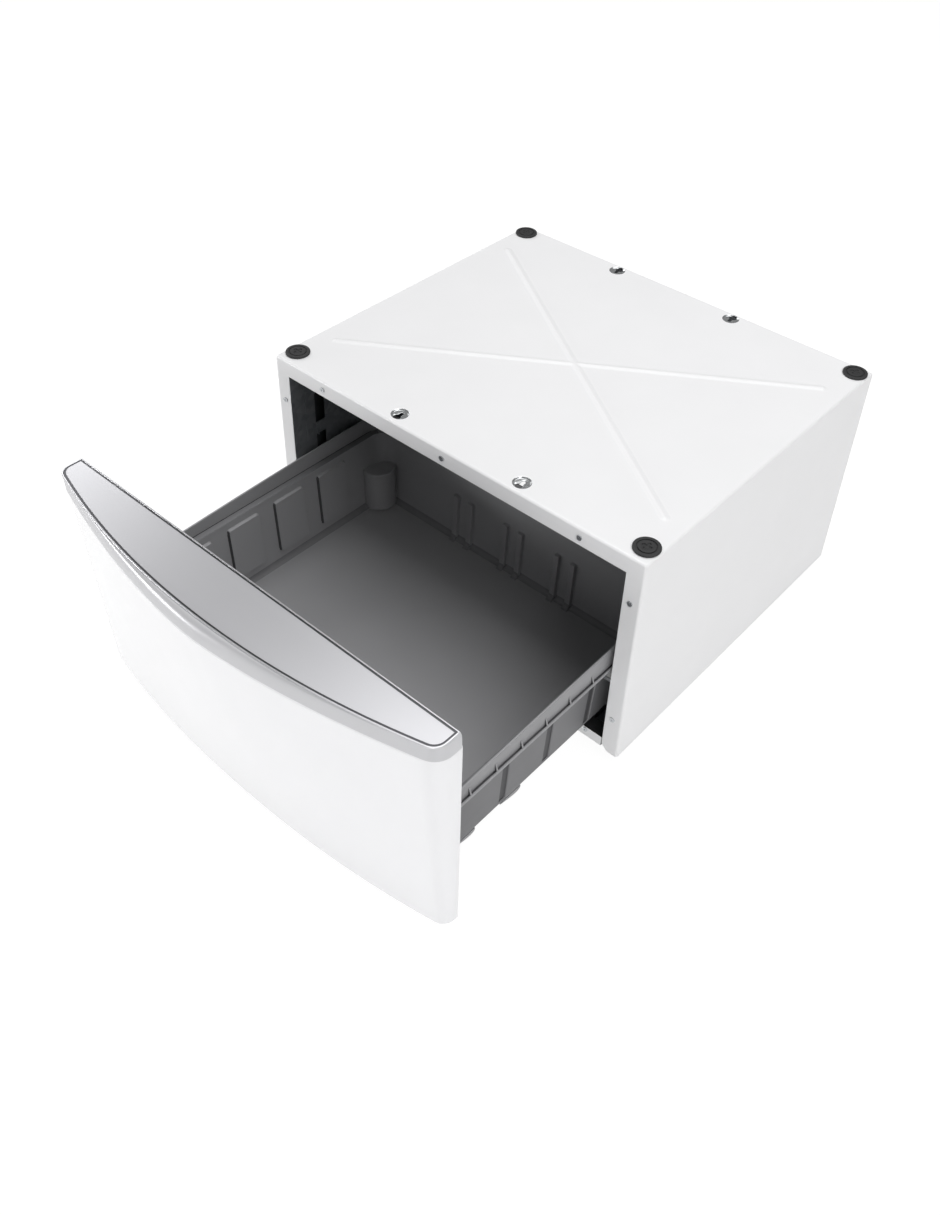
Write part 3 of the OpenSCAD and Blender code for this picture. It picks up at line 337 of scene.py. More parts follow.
SLOT_FINISHES = {
    "white_enamel": WHITE_ENAMEL, "gloss_enamel": GLOSS_ENAMEL, "zinc_sheet": GALVANISED,
    "zinc_steel": ZINC, "nylon": NYLON, "rubber": RUBBER, "foot_plastic": FOOT_PLASTIC,
    "tub_plastic": TUB_PLASTIC, "band_plastic": BAND, "satin_aluminium": ALUMINIUM,
    "chrome": CHROME,
}


# Meshes


def smooth_step(value: float) -> float:
    """Ease a value from 0 to 1 and hold it outside."""
    value = min(max(value, 0.0), 1.0)
    return value * value * (3 - 2 * value)


def turns(steps: int, span: float = QUARTER) -> list[float]:
    """List the angles from 0 to a span in even steps."""
    return [span * i / steps for i in range(steps + 1)]


def inside(point: Vector, outline: Sequence[Vector]) -> bool:
    """Tell whether a point lies within a closed outline."""
    odd = False
    for i, b in enumerate(outline):
        a = outline[i - 1]
        if (a.y > point.y) != (b.y > point.y):
            odd ^= point.x < a.x + (b.x - a.x) * (point.y - a.y) / (b.y - a.y)
    return odd


def start_ring(bm: BMesh, points: Sequence[Vector]) -> list[BMVert]:
    """Make a closed ring of vertices and edges.

    Args:
        bm: Mesh that receives the ring.
        points: Places in order.

    Returns:
        The vertices in the same order.
    """
    ring = [bm.verts.new(p) for p in points]
    for i, vert in enumerate(ring):
        bm.edges.new((ring[i - 1], vert))
    return ring


def draw_ring(bm: BMesh, ring: list[BMVert], points: Sequence[Vector]) -> list[BMVert]:
    """Extrude a ring and set it on new points.

    Args:
        bm: Mesh that holds the ring.
        ring: The ring's vertices in order.
        points: New places in the same order.

    Returns:
        The new ring's vertices in order.
    """
    edges = [bm.edges.get((ring[i - 1], vert)) for i, vert in enumerate(ring)]
    grown = bmesh.ops.extrude_edge_only(bm, edges=edges)["geom"]
    fresh = {item for item in grown if isinstance(item, BMVert)}
    twins = [next(o for e in vert.link_edges if (o := e.other_vert(vert)) in fresh)
             for vert in ring]
    for twin, point in zip(twins, points):
        twin.co = point
    return twins


def close_ring(bm: BMesh, ring: list[BMVert]) -> None:
    """Fill a flat ring with one face."""
    bmesh.ops.contextual_create(
        bm, geom=[bm.edges.get((ring[i - 1], vert)) for i, vert in enumerate(ring)]
    )


def loft(
    bm: BMesh, rings: Sequence[Sequence[Vector]], close: bool = True, cyclic: bool = False
) -> None:
    """Draw a skin through rings of equal counts.

    Args:
        bm: Mesh that receives the skin.
        rings: Rings of points, from one end to the other.
        close: Fill the first and last ring.
        cyclic: Join the last ring to the first one.
    """
    first = ring = start_ring(bm, rings[0])
    for points in rings[1:]:
        ring = draw_ring(bm, ring, points)
    if cyclic:
        edges = [bm.edges.get((r[i - 1], v)) for r in (first, ring) for i, v in enumerate(r)]
        bmesh.ops.bridge_loops(bm, edges=edges)
    elif close:
        close_ring(bm, first)
        close_ring(bm, ring)


def lofted(rings: Sequence[Sequence[Vector]], cyclic: bool = False) -> BMesh:
    """Start a mesh with one closed skin through rings."""
    bm = bmesh.new()
    loft(bm, rings, cyclic=cyclic)
    return bm


def loft_sides(bm: BMesh, rings: Sequence[Sequence[tuple[float, float, float]]]) -> None:
    """Draw the same closed skin on both sides of the middle plane.

    Args:
        bm: Mesh that receives the skins.
        rings: Rings of places (x, y, z) on the right side, in millimetres.
    """
    for side in Side:
        loft(bm, [[Vector((side.value * x, y, z)) * MM for x, y, z in ring] for ring in rings])


def add_level_normals(piece: Object) -> None:
    """Let the large faces of a piece set the normals at their edges."""
    flatten = piece.modifiers.new("level normals", "WEIGHTED_NORMAL")
    flatten.keep_sharp = True


def finish_piece(
    bm: BMesh, name: str, finish: Finish, body: str,
    replaced: Iterable[str] = (), sharp_deg: float = SHARP_DEG, outward: bool = True,
    level: bool = True,
) -> Object:
    """Turn a mesh into a piece of the model.

    Args:
        bm: Finished mesh, which is freed.
        name: Name of the piece.
        finish: Finish of the piece.
        body: CAD body that it rides on.
        replaced: CAD nodes that it stands for.
        sharp_deg: Angle over which an edge stays sharp.
        outward: Turn the faces outwards.
        level: Let the large faces set the normals.

    Returns:
        The new object.
    """
    bmesh.ops.remove_doubles(bm, verts=bm.verts, dist=WELD)
    if outward:
        bmesh.ops.recalc_face_normals(bm, faces=bm.faces)
    mesh = bpy.data.meshes.new(name)
    bm.to_mesh(mesh)
    bm.free()
    mesh.shade_smooth()
    mesh.set_sharp_from_angle(angle=math.radians(sharp_deg))
    mesh.materials.append(finish.make())
    piece = bpy.data.objects.new(name, mesh)
    bpy.context.scene.collection.objects.link(piece)
    if level:
        add_level_normals(piece)
    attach(piece, body)
    if replaced:
        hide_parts(*replaced)
    LOG.info("%s: %d faces", name, len(mesh.polygons))
    return piece


# Front of the drawer


@dataclass
class BowedOutline:
    """Plan of the front: straight back, round corners and a bowed face (mm)."""

    half: float
    back: float
    depth: float
    sag: float
    power: float
    radius: float
    corner_steps: int = 8
    bow_steps: int = 48
    back_steps: int = 24
    flank_steps: int = 4

    def bow(self, x: float) -> float:
        """Give the face's y at one x."""
        return -self.depth + self.sag * (abs(x) / self.half) ** self.power

    def points(self) -> list[tuple[float, float]]:
        """Walk round the outline.

        Returns:
            Points (x, y) from the left back corner over the face to the right one
            and straight back.
        """
        knee = self.half - self.radius
        slope = self.sag * self.power / self.half * (knee / self.half) ** (self.power - 1)
        turn = math.atan(slope)
        end_x = knee + self.radius * math.sin(turn)
        centre_y = self.bow(end_x) + self.radius * math.cos(turn)
        corner = []
        for i in range(self.corner_steps + 1):
            angle = (QUARTER - turn) * (1 - i / self.corner_steps)
            corner.append((knee + self.radius * math.cos(angle),
                           centre_y - self.radius * math.sin(angle)))
        face = []
        for i in range(1, self.bow_steps):
            x = -end_x + 2 * end_x * i / self.bow_steps
            face.append((x, self.bow(x)))
        left = [(-x, y) for x, y in reversed(corner)]
        flank_r = [(self.half, centre_y + (self.back - centre_y) * i / self.flank_steps)
                   for i in range(1, self.flank_steps + 1)]
        flank_l = [(-x, y) for x, y in reversed(flank_r)]
        rear = [(self.half * (1 - 2 * i / self.back_steps), self.back)
                for i in range(1, self.back_steps)]
        return flank_l + left + face + corner + flank_r + rear

# Section of the bright rim: places across it in mm and shares of its height
RIM_SECTION = ((0.0, 0.0), (0.0, 0.55), (0.12, 0.82), (0.35, 0.96), (0.7, 1.0), (1.5, 1.0),
               (1.85, 0.96), (2.08, 0.82))


@dataclass
class DrawerFront:
    """Gloss panel, silver band and satin plate with its bright rim (mm)."""

    low_bow: float = 56.0
    top_bow: float = 100.0
    low_sag: float = 34.2
    top_sag: float = 61.5
    low_power: float = 2.15
    top_power: float = 1.65
    low_corner: float = 20.0
    top_corner: float = 36.0
    back_share: float = 0.2
    edge: float = 1.6
    edge_steps: int = 4
    top_round: float = 5.0
    top_round_in: float = 1.6
    round_steps: int = 6
    levels: int = 14
    least_share: float = 0.01
    cap_over: float = 2.5
    cap_nose: float = 12.0
    cap_sag: float = 48.0
    cap_back: float = 4.0
    cap_power: float = 2.05
    cap_corners: tuple[float, float] = (27.0, 20.0)
    cap_edge: float = 0.8
    nose_power: int = 4
    nose_steps: int = 24
    trim_w: float = 2.2
    trim_edge_share: float = 0.55
    joint_w: float = 2.4
    joint_deep: float = 0.25
    joint_gap: float = 0.01
    plate_edge: float = 0.35
    plate_bevel: float = 0.1
    panel_low: Vector = field(default_factory=lambda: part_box("front_panel")[0] / MM)
    panel_high: Vector = field(default_factory=lambda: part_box("front_panel")[1] / MM)
    cap_top: float = field(default_factory=lambda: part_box("cap_body")[1].z / MM)
    trim_top: float = field(default_factory=lambda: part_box("cap_trim")[1].z / MM)
    plate_top: float = field(default_factory=lambda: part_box("cap_plate")[1].z / MM)

    def ring(self, outline: Sequence[tuple[float, float]], z: float) -> list[Vector]:
        """Set an outline at a height behind the panel's back plane.

        Args:
            outline: Points (x, y) in millimetres.
            z: Height in millimetres.

        Returns:
            Points in metres.
        """
        return [Vector((x, self.panel_high.y + y, z)) * MM for x, y in outline]

    def panel_outline(self, share: float, inset: float) -> list[tuple[float, float]]:
        """Give the panel's outline at one height.

        Args:
            share: 0 at the lower edge and 1 at the upper one.
            inset: Distance that the outline is drawn in.

        Returns:
            Points (x, y) in millimetres.
        """
        half, back = self.panel_high.x - inset, -inset * self.back_share
        low = BowedOutline(half, back, self.low_bow - inset, self.low_sag,
                           self.low_power, self.low_corner - inset).points()
        top = BowedOutline(half, back, self.top_bow - inset, self.top_sag,
                           self.top_power, self.top_corner - inset).points()
        return [(a[0] + (b[0] - a[0]) * share, a[1] + (b[1] - a[1]) * share)
                for a, b in zip(low, top)]

    def build_panel(self) -> None:
        """Build the gloss panel between its two bowed outlines."""
        low, high = self.panel_low.z, self.panel_high.z - self.top_round
        rings = []
        for angle in turns(self.edge_steps)[:-1]:
            rings.append(self.ring(self.panel_outline(0, self.edge * (1 - math.sin(angle))),
                                   low + self.edge * (1 - math.cos(angle))))
        for i in range(self.levels + 1):
            share = max(i / self.levels, self.least_share)
            rings.append(self.ring(self.panel_outline(share, 0), low + (high - low) * share))
        for angle in turns(self.round_steps)[1:]:
            rings.append(self.ring(
                self.panel_outline(1, self.top_round_in * (1 - math.cos(angle))),
                high + self.top_round * math.sin(angle)))
        finish_piece(lofted(rings), "gloss_front", GLOSS_ENAMEL, "drawer",
                     ["front_panel"])

    def cap_outline(self, share: float, inset: float) -> list[tuple[float, float]]:
        """Give the cap's outline between the band and the plate.

        Args:
            share: 0 at the band and 1 at the plate.
            inset: Distance that the outline is drawn in.

        Returns:
            Points (x, y) in millimetres.
        """
        half = self.panel_high.x + self.cap_over * (1 - share) - inset
        low_corner, top_corner = self.cap_corners
        return BowedOutline(
            half, -self.cap_back - inset, self.top_bow - self.cap_nose * share - inset,
            self.top_sag + (self.cap_sag - self.top_sag) * share,
            self.top_power + (self.cap_power - self.top_power) * share,
            low_corner + (top_corner - low_corner) * share - inset).points()

    def cap_ring(self, share: float, inset: float, z: float) -> list[Vector]:
        """Set the cap's outline at a height."""
        return self.ring(self.cap_outline(share, inset), z)

    def build_band(self) -> None:
        """Build the silver band with its rolled nose and its upper face in black, painted shade at
        the bottom of the joint.
        """
        low, high = self.panel_high.z, self.cap_top
        rings = [self.cap_ring(0, self.cap_edge, low), self.cap_ring(0, 0, low + self.cap_edge)]
        for angle in turns(self.nose_steps)[2:]:
            rise = math.sin(angle)
            share = 1 - math.sqrt(max(1 - rise ** self.nose_power, 0))
            rings.append(self.cap_ring(share, 0, low + (high - low) * rise))
        bm = lofted(rings)
        # Black on the band's upper face: painted shade where it shows at the bottom of the joint
        max(bm.faces, key=lambda f: f.calc_center_median().z).material_index = 1
        band = finish_piece(bm, "cap_band", BAND, "drawer", ["cap_body"])
        band.data.materials.append(FOOT_PLASTIC.make())

    def build_rim(self) -> None:
        """Build the bright rim, and within it the joint in dark metal as painted shade."""
        low, high = self.cap_top, self.trim_top
        section = RIM_SECTION + ((self.trim_w, self.trim_edge_share), (self.trim_w, 0.0))
        rim = [self.cap_ring(1, x, low + (high - low) * z) for x, z in section]
        finish_piece(lofted(rim, cyclic=True), "cap_rim", CHROME, "drawer",
                     ["cap_trim"])
        # The joint is filled with dark metal: painted shade in the gap between rim and plate
        near = self.trim_w + self.joint_gap
        far = self.trim_w + self.joint_w - self.joint_gap
        seat = min(self.plate_top, high) - self.joint_deep
        joint = [self.cap_ring(1, x, z)
                 for x, z in ((near, low), (near, seat), (far, seat), (far, low))]
        finish_piece(lofted(joint, cyclic=True), "cap_joint_shade", JOINT_SHADE_TRIM, "drawer")

    def build_plate(self) -> None:
        """Build the satin plate within the joint."""
        edge, top = self.trim_w + self.joint_w, self.plate_top
        rings = [self.cap_ring(1, edge + x, z) for x, z in (
            (0, self.cap_top), (0, top - self.plate_edge),
            (self.plate_bevel, top - self.plate_bevel), (self.plate_edge, top))]
        finish_piece(lofted(rings), "cap_plate_satin", ALUMINIUM, "drawer",
                     ["cap_plate"])

    def build(self) -> None:
        """Build the whole front."""
        self.build_panel()
        self.build_band()
        self.build_rim()
        self.build_plate()


# Tub


@dataclass
class RaisedPatch:
    """A raised or sunk patch with round corners on a wall (mm)."""

    low: float
    high: float
    bottom: float
    top: float
    proud: float
    corner: float = 6.0
    slope: float = 1.8

    def offset(self, along: float, z: float) -> float:
        """Give how far the wall stands in at one place."""
        half_u = (self.high - self.low) / 2
        half_v = (self.top - self.bottom) / 2
        u = abs(along - (self.low + self.high) / 2) - half_u + self.corner
        v = abs(z - (self.bottom + self.top) / 2) - half_v + self.corner
        reach = math.hypot(max(u, 0), max(v, 0)) + min(max(u, v), 0) - self.corner
        return self.proud * smooth_step(0.5 - reach / self.slope)


class PaintedShade(Enum):
    """Painted shade on the tub's faces, as numbers of its materials."""

    UNSHADED = 0
    DEEP = 1
    SOFT = 2


@dataclass
class WallRing:
    """One level of the tub's closed profile (mm)."""

    out: float
    z: float
    front: float
    inside: bool

# Places over an edge of a raised or sunk patch, in mm, where the walls are sampled
EDGE_STEPS = (-1.6, -0.9, -0.45, 0.0, 0.45, 0.9, 1.6)
FOOT_STEPS = (-1.4, -0.8, -0.4, 0, 0.4, 0.8, 1.6, 3.2, 6)
HEAD_STEPS = (-0.8, -0.4, 0, 0.4, 0.8, 1.4)
GROOVE_STEPS = (2.2, 1, 0.6, 0.2, -0.2, -0.6, -1, -2.2)
# Samples along the round corners of a patch, as shares of their radius
CORNER_SHARES = (0.55, 1.0)
HEAD_SHARES = (-0.6, -0.3)
# Corners of the tub's section as (out, up) in mm: the inner ledge with its groove, from the
# wall line and the step; the rim's outer face, from the rim and the ledge; the ledge's lip,
# from its outer edge; and the ledge's underside, from the wall line
INNER_LEDGE = ((-3.0, -0.6), (-2.9, -0.1), (-2.4, 0.4), (6.3, 1.2), (6.6, 0.8), (6.7, 0), (8.3, 0))
OUTER_RIM = ((0, 22), (0, 8), (0, 1), (0.25, 0.3), (0.9, 0))
LEDGE_LIP = ((-2, 0), (-1.8, 1.7), (-1.3, 2.1), (-0.6, 2.1), (0, 1.5), (0, -2.2), (-0.25, -2.75),
             (-0.8, -3))
UNDER_LEDGE = ((0.9, -3), (0.25, -3.3), (0, -4))
# Rounding of a post's head as (down, in) in mm
POST_HEAD = ((2.5, 0), (1.1, 0.35), (0.35, 1.1), (0, 2.5))
# Shape of a skid from the side: shares of its length and of its drop
SKID_SHAPE = ((0.0, 0.0), (0.25, 0.42), (0.5, 0.8), (0.66, 0.97), (0.78, 1.0), (0.88, 0.9),
              (0.95, 0.66), (0.99, 0.32), (1.0, 0.0))
@dataclass
class Tub:
    """The moulded tub with ledge, rim, raised panels, ribs, posts and skids (mm)."""

    wall: float = 3.0
    back_y: float = -118.5
    wall_x: float = 296.0
    draft: float = 7.0
    corner: float = 34.0
    floor_r: float = 14.0
    rim_out: float = 11.5
    rim_foot: float = 0.6
    rim_lip: float = 1.6
    rim_levels: tuple[float, float] = (198.0, 208.0)
    ledge_out: float = 16.0
    ledge_z: float = 183.0
    step_z: float = 189.0
    rim_back_z: float = 219.0
    rim_front_z: float = 204.0
    panel_first: float = 80.0
    panel_pitch: float = 92.0
    panel_w: float = 60.0
    panel_proud: float = 4.5
    panel_count: int = 4
    panel_corner: float = 5.0
    panel_slope: float = 1.5
    panel_reach: float = 6.0
    floor_in_r: float = 9.0
    straight: float = 40.0
    panel_top: float = 175.5
    panel_low: float = 78.0
    inner_levels: tuple[float, float] = (105.0, 125.0)
    inner_top: float = 184.0
    outer_levels: tuple[float, float, float] = (130.0, 110.0, 90.0)
    front_share: float = 0.35
    least_turn: float = 12.0
    nook_r: float = 1.5
    nook_steps: int = 3
    nose_share: float = 0.9
    nose_steps: int = 9
    round_steps: int = 8
    turn_steps: int = 12
    first_station: float = 8.0
    spans: int = 26
    least_gap: float = 0.25
    rib_pitch: float = 105.0
    rib_space: float = 31.0
    rib_w: float = 11.0
    rib_proud: float = 5.0
    rib_corner: float = 2.5
    rib_slope: float = 1.4
    rib_top: float = 143.0
    groove_first: float = 139.0
    groove_pitch: float = 91.0
    groove_w: float = 13.0
    groove_deep: float = 2.5
    groove_corner: float = 2.0
    groove_slope: float = 1.5
    groove_count: int = 4
    groove_top: float = 148.7
    post_x: float = 279.5
    post_y: float = -148.5
    post_r: float = 28.5
    post_top: float = 133.0
    post_levels: tuple[float, float] = (58.0, 95.0)
    post_steps: int = 72
    gusset_first: float = 55.0
    gusset_pitch: float = 49.0
    gusset_t: float = 2.5
    gusset_h: float = 14.0
    gusset_foot: float = 1.2
    gusset_head: float = 0.9
    gusset_in: float = 0.4
    gusset_sunk: float = 0.5
    gusset_count: int = 9
    skid_first: float = 54.0
    skid_pitch: float = 93.0
    skid_len: float = 42.0
    skid_drop: float = 6.0
    skid_w: float = 16.0
    skid_in: float = 2.5
    skid_count: int = 2
    skid_edge: float = 0.8
    skid_edge_share: float = 0.9
    floor_slopes: tuple[float, float] = (0.08, 0.97)
    ledge_span: tuple[float, float] = (-0.4, 1.3)
    ledge_slope: float = 0.3
    ledge_groove: float = 6.5
    lip_w: float = 1.9
    gusset_slope: float = 0.9
    front_y: float = field(default_factory=lambda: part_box("drawer_tub")[0].y / MM)
    low_z: float = 51.5

    def side_patches(self) -> list[RaisedPatch]:
        """List the raised panels of a side wall, seen from inside."""
        first = self.front_y + self.panel_first
        return [RaisedPatch(y, y + self.panel_w, self.panel_low, self.panel_top,
                            self.panel_proud, self.panel_corner, self.panel_slope)
                for y in (first + self.panel_pitch * i for i in range(self.panel_count))]

    def back_patches(self) -> list[RaisedPatch]:
        """List the rib pairs of the back wall."""
        centres = [self.rib_pitch * i + s * self.rib_space / 2 for i in (-1, 0, 1) for s in (-1, 1)]
        return [RaisedPatch(x - self.rib_w / 2, x + self.rib_w / 2, 0, self.rib_top,
                            self.rib_proud, self.rib_corner, self.rib_slope) for x in centres]

    def grooves(self) -> list[RaisedPatch]:
        """List the upright grooves outside."""
        first, low = self.front_y + self.groove_first, self.low_z + self.floor_r
        return [RaisedPatch(y, y + self.groove_w, low, self.groove_top, self.groove_deep,
                            self.groove_corner, self.groove_slope)
                for y in (first + self.groove_pitch * i for i in range(self.groove_count))]

    def stations(self, low: float, high: float, patches: Sequence[RaisedPatch]) -> list[float]:
        """Choose sample places along a wall, close together at the patches' edges.

        Args:
            low: First place.
            high: Last place.
            patches: Patches whose edges need samples.

        Returns:
            Sorted places between low and high, without the ends.
        """
        places = {low + (high - low) * i / self.spans for i in range(1, self.spans)}
        for patch in patches:
            for edge, sign in ((patch.low, 1), (patch.high, -1)):
                steps = (*EDGE_STEPS, *(patch.corner * s for s in CORNER_SHARES))
                places |= {edge + sign * s for s in steps}
        kept: list[float] = []
        for place in sorted(places):
            if low + 1 < place < high - 1 and (not kept or place - kept[-1] > self.least_gap):
                kept.append(place)
        return kept

    def lean(self, z: float) -> float:
        """Give how far the drafted wall stands in at one height."""
        top = self.ledge_z - self.wall
        return self.draft * min(max((top - z) / (top - self.low_z), 0), 1)

    def rim_top(self, y: float) -> float:
        """Give the height of the rim's arched edge at one y."""
        back = self.back_y + self.rim_out
        share = (back - y) / (back - self.front_y)
        return self.rim_back_z - (self.rim_back_z - self.rim_front_z) * share ** 2

    def profile(self) -> list[WallRing]:
        """List the rings from the inner floor over the rim to the outer floor."""
        floor, low = self.low_z + self.wall, self.low_z + self.floor_r
        inner_r, half_wall = self.floor_in_r, self.wall / 2
        rings: list[WallRing] = []
        for angle in turns(self.round_steps):
            shrink = inner_r * (1 - math.sin(angle))
            rings.append(WallRing(-self.wall - shrink, floor + inner_r * (1 - math.cos(angle)),
                                  self.wall + shrink * self.front_share, True))
        heights = [self.panel_low + s for s in FOOT_STEPS] + list(self.inner_levels)
        for top, reach in ((self.rib_top, self.rib_corner), (self.panel_top, self.panel_reach)):
            steps = (-reach - 1, *(reach * s for s in HEAD_SHARES), *HEAD_STEPS)
            heights += [top + s for s in steps]
        heights.append(self.inner_top)
        inner, top = self.rim_out - self.wall, self.rim_back_z
        line = [(-self.wall, z) for z in heights]
        line += [(x, self.step_z + z) for x, z in (*INNER_LEDGE, (inner, self.rim_foot))]
        line += [(inner, z) for z in (*self.rim_levels, top - self.rim_lip)]
        rings += [WallRing(out, z, self.wall, True) for out, z in line]
        for angle in turns(self.round_steps, math.pi)[1:-1]:
            rings.append(WallRing(
                inner + half_wall * (1 - math.cos(angle)),
                top - half_wall + half_wall * math.sin(angle),
                half_wall * (1 + math.cos(angle)), False))
        line = [(self.rim_out, top - self.rim_lip)]
        line += [(self.rim_out + x, self.ledge_z + z) for x, z in OUTER_RIM]
        line += [(self.ledge_out + x, self.ledge_z + z) for x, z in LEDGE_LIP]
        line += [(x, self.ledge_z + z) for x, z in UNDER_LEDGE]
        line += [(0.0, self.groove_top + s) for s in GROOVE_STEPS]
        line += [(0.0, z) for z in self.outer_levels]
        line += [(0.0, low + s) for s in GROOVE_STEPS if s > 0]
        line += [(-self.floor_r * (1 - math.cos(a)), self.low_z + self.floor_r * (1 - math.sin(a)))
                 for a in turns(self.round_steps)]
        return rings + [WallRing(out, z, 0.0, False) for out, z in line]

    def ring_points(self, level: WallRing, side: list[float], back: list[float]) -> list[Vector]:
        """Walk round the tub at one level.

        Args:
            level: The level's place on the profile.
            side: Sample places along y.
            back: Sample places along x.

        Returns:
            Points in metres: front, right side, back and left side.
        """
        z = level.z
        half = self.wall_x + level.out - self.lean(z)
        rear = self.back_y + level.out - self.lean(z)
        front = self.front_y + level.front
        turn = max(self.corner + level.out, self.least_turn)
        # Only the ends of the sample lines follow the corners
        y1, x1 = self.back_y - self.corner, self.wall_x - self.corner
        walls = self.side_patches() if level.inside else self.grooves()
        ribs = self.back_patches() if level.inside else []
        right: list[tuple[float, float]] = []
        hold = y1 - self.straight
        for y in side:
            if y > hold:
                y = hold + (rear - turn - hold) * (y - hold) / (y1 - hold)
            right.append((half - sum(p.offset(y, z) for p in walls), y))
        arc = [(half - turn + turn * math.cos(a), rear - turn + turn * math.sin(a))
               for a in turns(self.turn_steps)]
        rear_line = []
        hold = x1 - self.straight
        for x in reversed(back):
            if abs(x) > hold:
                reach = hold + (half - turn - hold) * (abs(x) - hold) / (x1 - hold)
                x = math.copysign(reach, x)
            rear_line.append((x, rear - sum(p.offset(x, z) for p in ribs)))
        nook = [(half - self.nook_r * (1 - math.sin(a)), front + self.nook_r * (1 - math.cos(a)))
                for a in turns(self.nook_steps)]
        nose = [(half * self.nose_share * (i / self.nose_steps - 1), front)
                for i in range(2 * self.nose_steps + 1)]
        left = [(-x, y) for x, y in reversed(nook + right + arc)]
        # Over the step, all heights are scaled to the rim's arched edge
        foot, points = self.step_z + 1, []
        for x, y in nose + nook + right + arc + rear_line + left:
            height = z
            if z > foot:
                height = foot + (z - foot) * (self.rim_top(y) - foot) / (self.rim_back_z - foot)
            points.append(Vector((x, y, height)) * MM)
        return points

    def add_posts(self, bm: BMesh) -> None:
        """Add the two round corner posts, held inside the wall's thickness."""
        levels = [(z, 0.0) for z in self.post_levels]
        levels += [(self.post_top - down, inset) for down, inset in POST_HEAD]
        turn = self.corner - self.wall / 2
        rings = []
        for z, inset in levels:
            half = self.wall_x - self.lean(z) - self.wall / 2
            rear = self.back_y - self.lean(z) - self.wall / 2
            ring = []
            for angle in turns(self.post_steps, math.tau)[:-1]:
                x = min(self.post_x + (self.post_r - inset) * math.cos(angle), half)
                y = min(self.post_y + (self.post_r - inset) * math.sin(angle), rear)
                over_x, over_y = x - (half - turn), y - (rear - turn)
                reach = math.hypot(over_x, over_y)
                if over_x > 0 and over_y > 0 and reach > turn:
                    x = half - turn + over_x * turn / reach
                    y = rear - turn + over_y * turn / reach
                ring.append((x, y, z))
            rings.append(ring)
        loft_sides(bm, rings)

    def add_gussets(self, bm: BMesh) -> None:
        """Add the thin gussets that stand on the ledge against the rim."""
        near = self.wall_x + self.rim_out - self.gusset_sunk
        far = self.wall_x + self.ledge_out - self.gusset_in
        low, high = self.ledge_z - self.gusset_sunk, self.ledge_z + self.gusset_h
        corners = ((near, low), (far, low), (far, self.ledge_z + self.gusset_foot),
                   (near + self.gusset_head, high), (near, high))
        for i in range(self.gusset_count):
            y = self.front_y + self.gusset_first + self.gusset_pitch * i
            loft_sides(bm, [[(x, y + t, z) for x, z in corners] for t in (0, self.gusset_t)])

    def add_skids(self, bm: BMesh) -> None:
        """Add the long rounded skids under the tub's lower edges."""
        far = self.wall_x - self.draft - self.skid_in
        near = far - self.skid_w
        low, cut = self.low_z, self.low_z + self.wall / 2
        for i in range(self.skid_count):
            start = self.front_y + self.skid_first + self.skid_pitch * i
            path = [(start + self.skid_len * u, low - self.skid_drop * v) for u, v in SKID_SHAPE]
            path = [(start, cut), *path, (start + self.skid_len, cut)]
            loft_sides(bm, [[(x, y, cut + (z - cut) * share) for y, z in path] for x, share in (
                (near, self.skid_edge_share), (near + self.skid_edge, 1.0),
                (far - self.skid_edge, 1.0), (far, self.skid_edge_share))])

    def grain(self, face: BMFace) -> PaintedShade:
        """Tell which painted shade a face of the tub gets.

        Args:
            face: Face with its normal turned outwards.

        Returns:
            Deep painted shade in grooves and channels, on gussets and on the panels' edges.
            Soft painted shade on the outside, the inner ledge and the floor's rounding. None
            elsewhere.
        """
        middle = face.calc_center_median() / MM
        floor = self.low_z + self.wall
        upright, level = self.floor_slopes
        if floor < middle.z < floor + self.floor_in_r and upright < face.normal.z < level:
            return PaintedShade.SOFT
        if face.normal.y < -0.5 and self.panel_low < middle.z < self.panel_top and any(
                p.low - 2 < middle.y < p.low + 2 for p in self.side_patches()):
            return PaintedShade.DEEP
        out = max(abs(middle.x) - self.wall_x, middle.y - self.back_y)
        outer = face.normal.x * middle.x > 0 and out < 0
        if outer and any(g.offset(middle.y, middle.z) > 0.5 * g.proud for g in self.grooves()):
            return PaintedShade.DEEP
        if outer and self.lean(middle.z) + out > -1:
            return PaintedShade.SOFT
        if middle.z < self.ledge_z - 1 or out < -self.wall:
            return PaintedShade.UNSHADED
        low, high = (self.step_z + z for z in self.ledge_span)
        if low < middle.z < high and face.normal.z > self.ledge_slope:
            return PaintedShade.SOFT if out < self.ledge_groove else PaintedShade.DEEP
        channel = self.rim_out < out < self.ledge_out - self.lip_w and middle.z < self.ledge_z + 1
        gusset = out > self.rim_out - self.gusset_in and face.normal.y < -self.gusset_slope
        return PaintedShade.DEEP if channel or gusset else PaintedShade.UNSHADED

    def build(self) -> None:
        """Build the tub as one moulding."""
        side = self.stations(self.front_y + self.first_station, self.back_y - self.corner,
                             self.side_patches() + self.grooves())
        reach = self.wall_x - self.corner
        back = self.stations(-reach, reach, self.back_patches())
        bm = bmesh.new()
        loft(bm, [self.ring_points(level, side, back) for level in self.profile()])
        self.add_posts(bm)
        self.add_gussets(bm)
        self.add_skids(bm)
        bmesh.ops.recalc_face_normals(bm, faces=bm.faces)
        # Darker copies of the plastic paint the shade on the faces that the mask picks
        for face in bm.faces:
            face.material_index = self.grain(face).value
        tub = finish_piece(bm, "moulded_tub", TUB_PLASTIC, "drawer", ["drawer_tub"])
        for finish in (DEEP_SHADE_PLASTIC, SOFT_SHADE_PLASTIC):
            tub.data.materials.append(finish.make())


# Cabinet

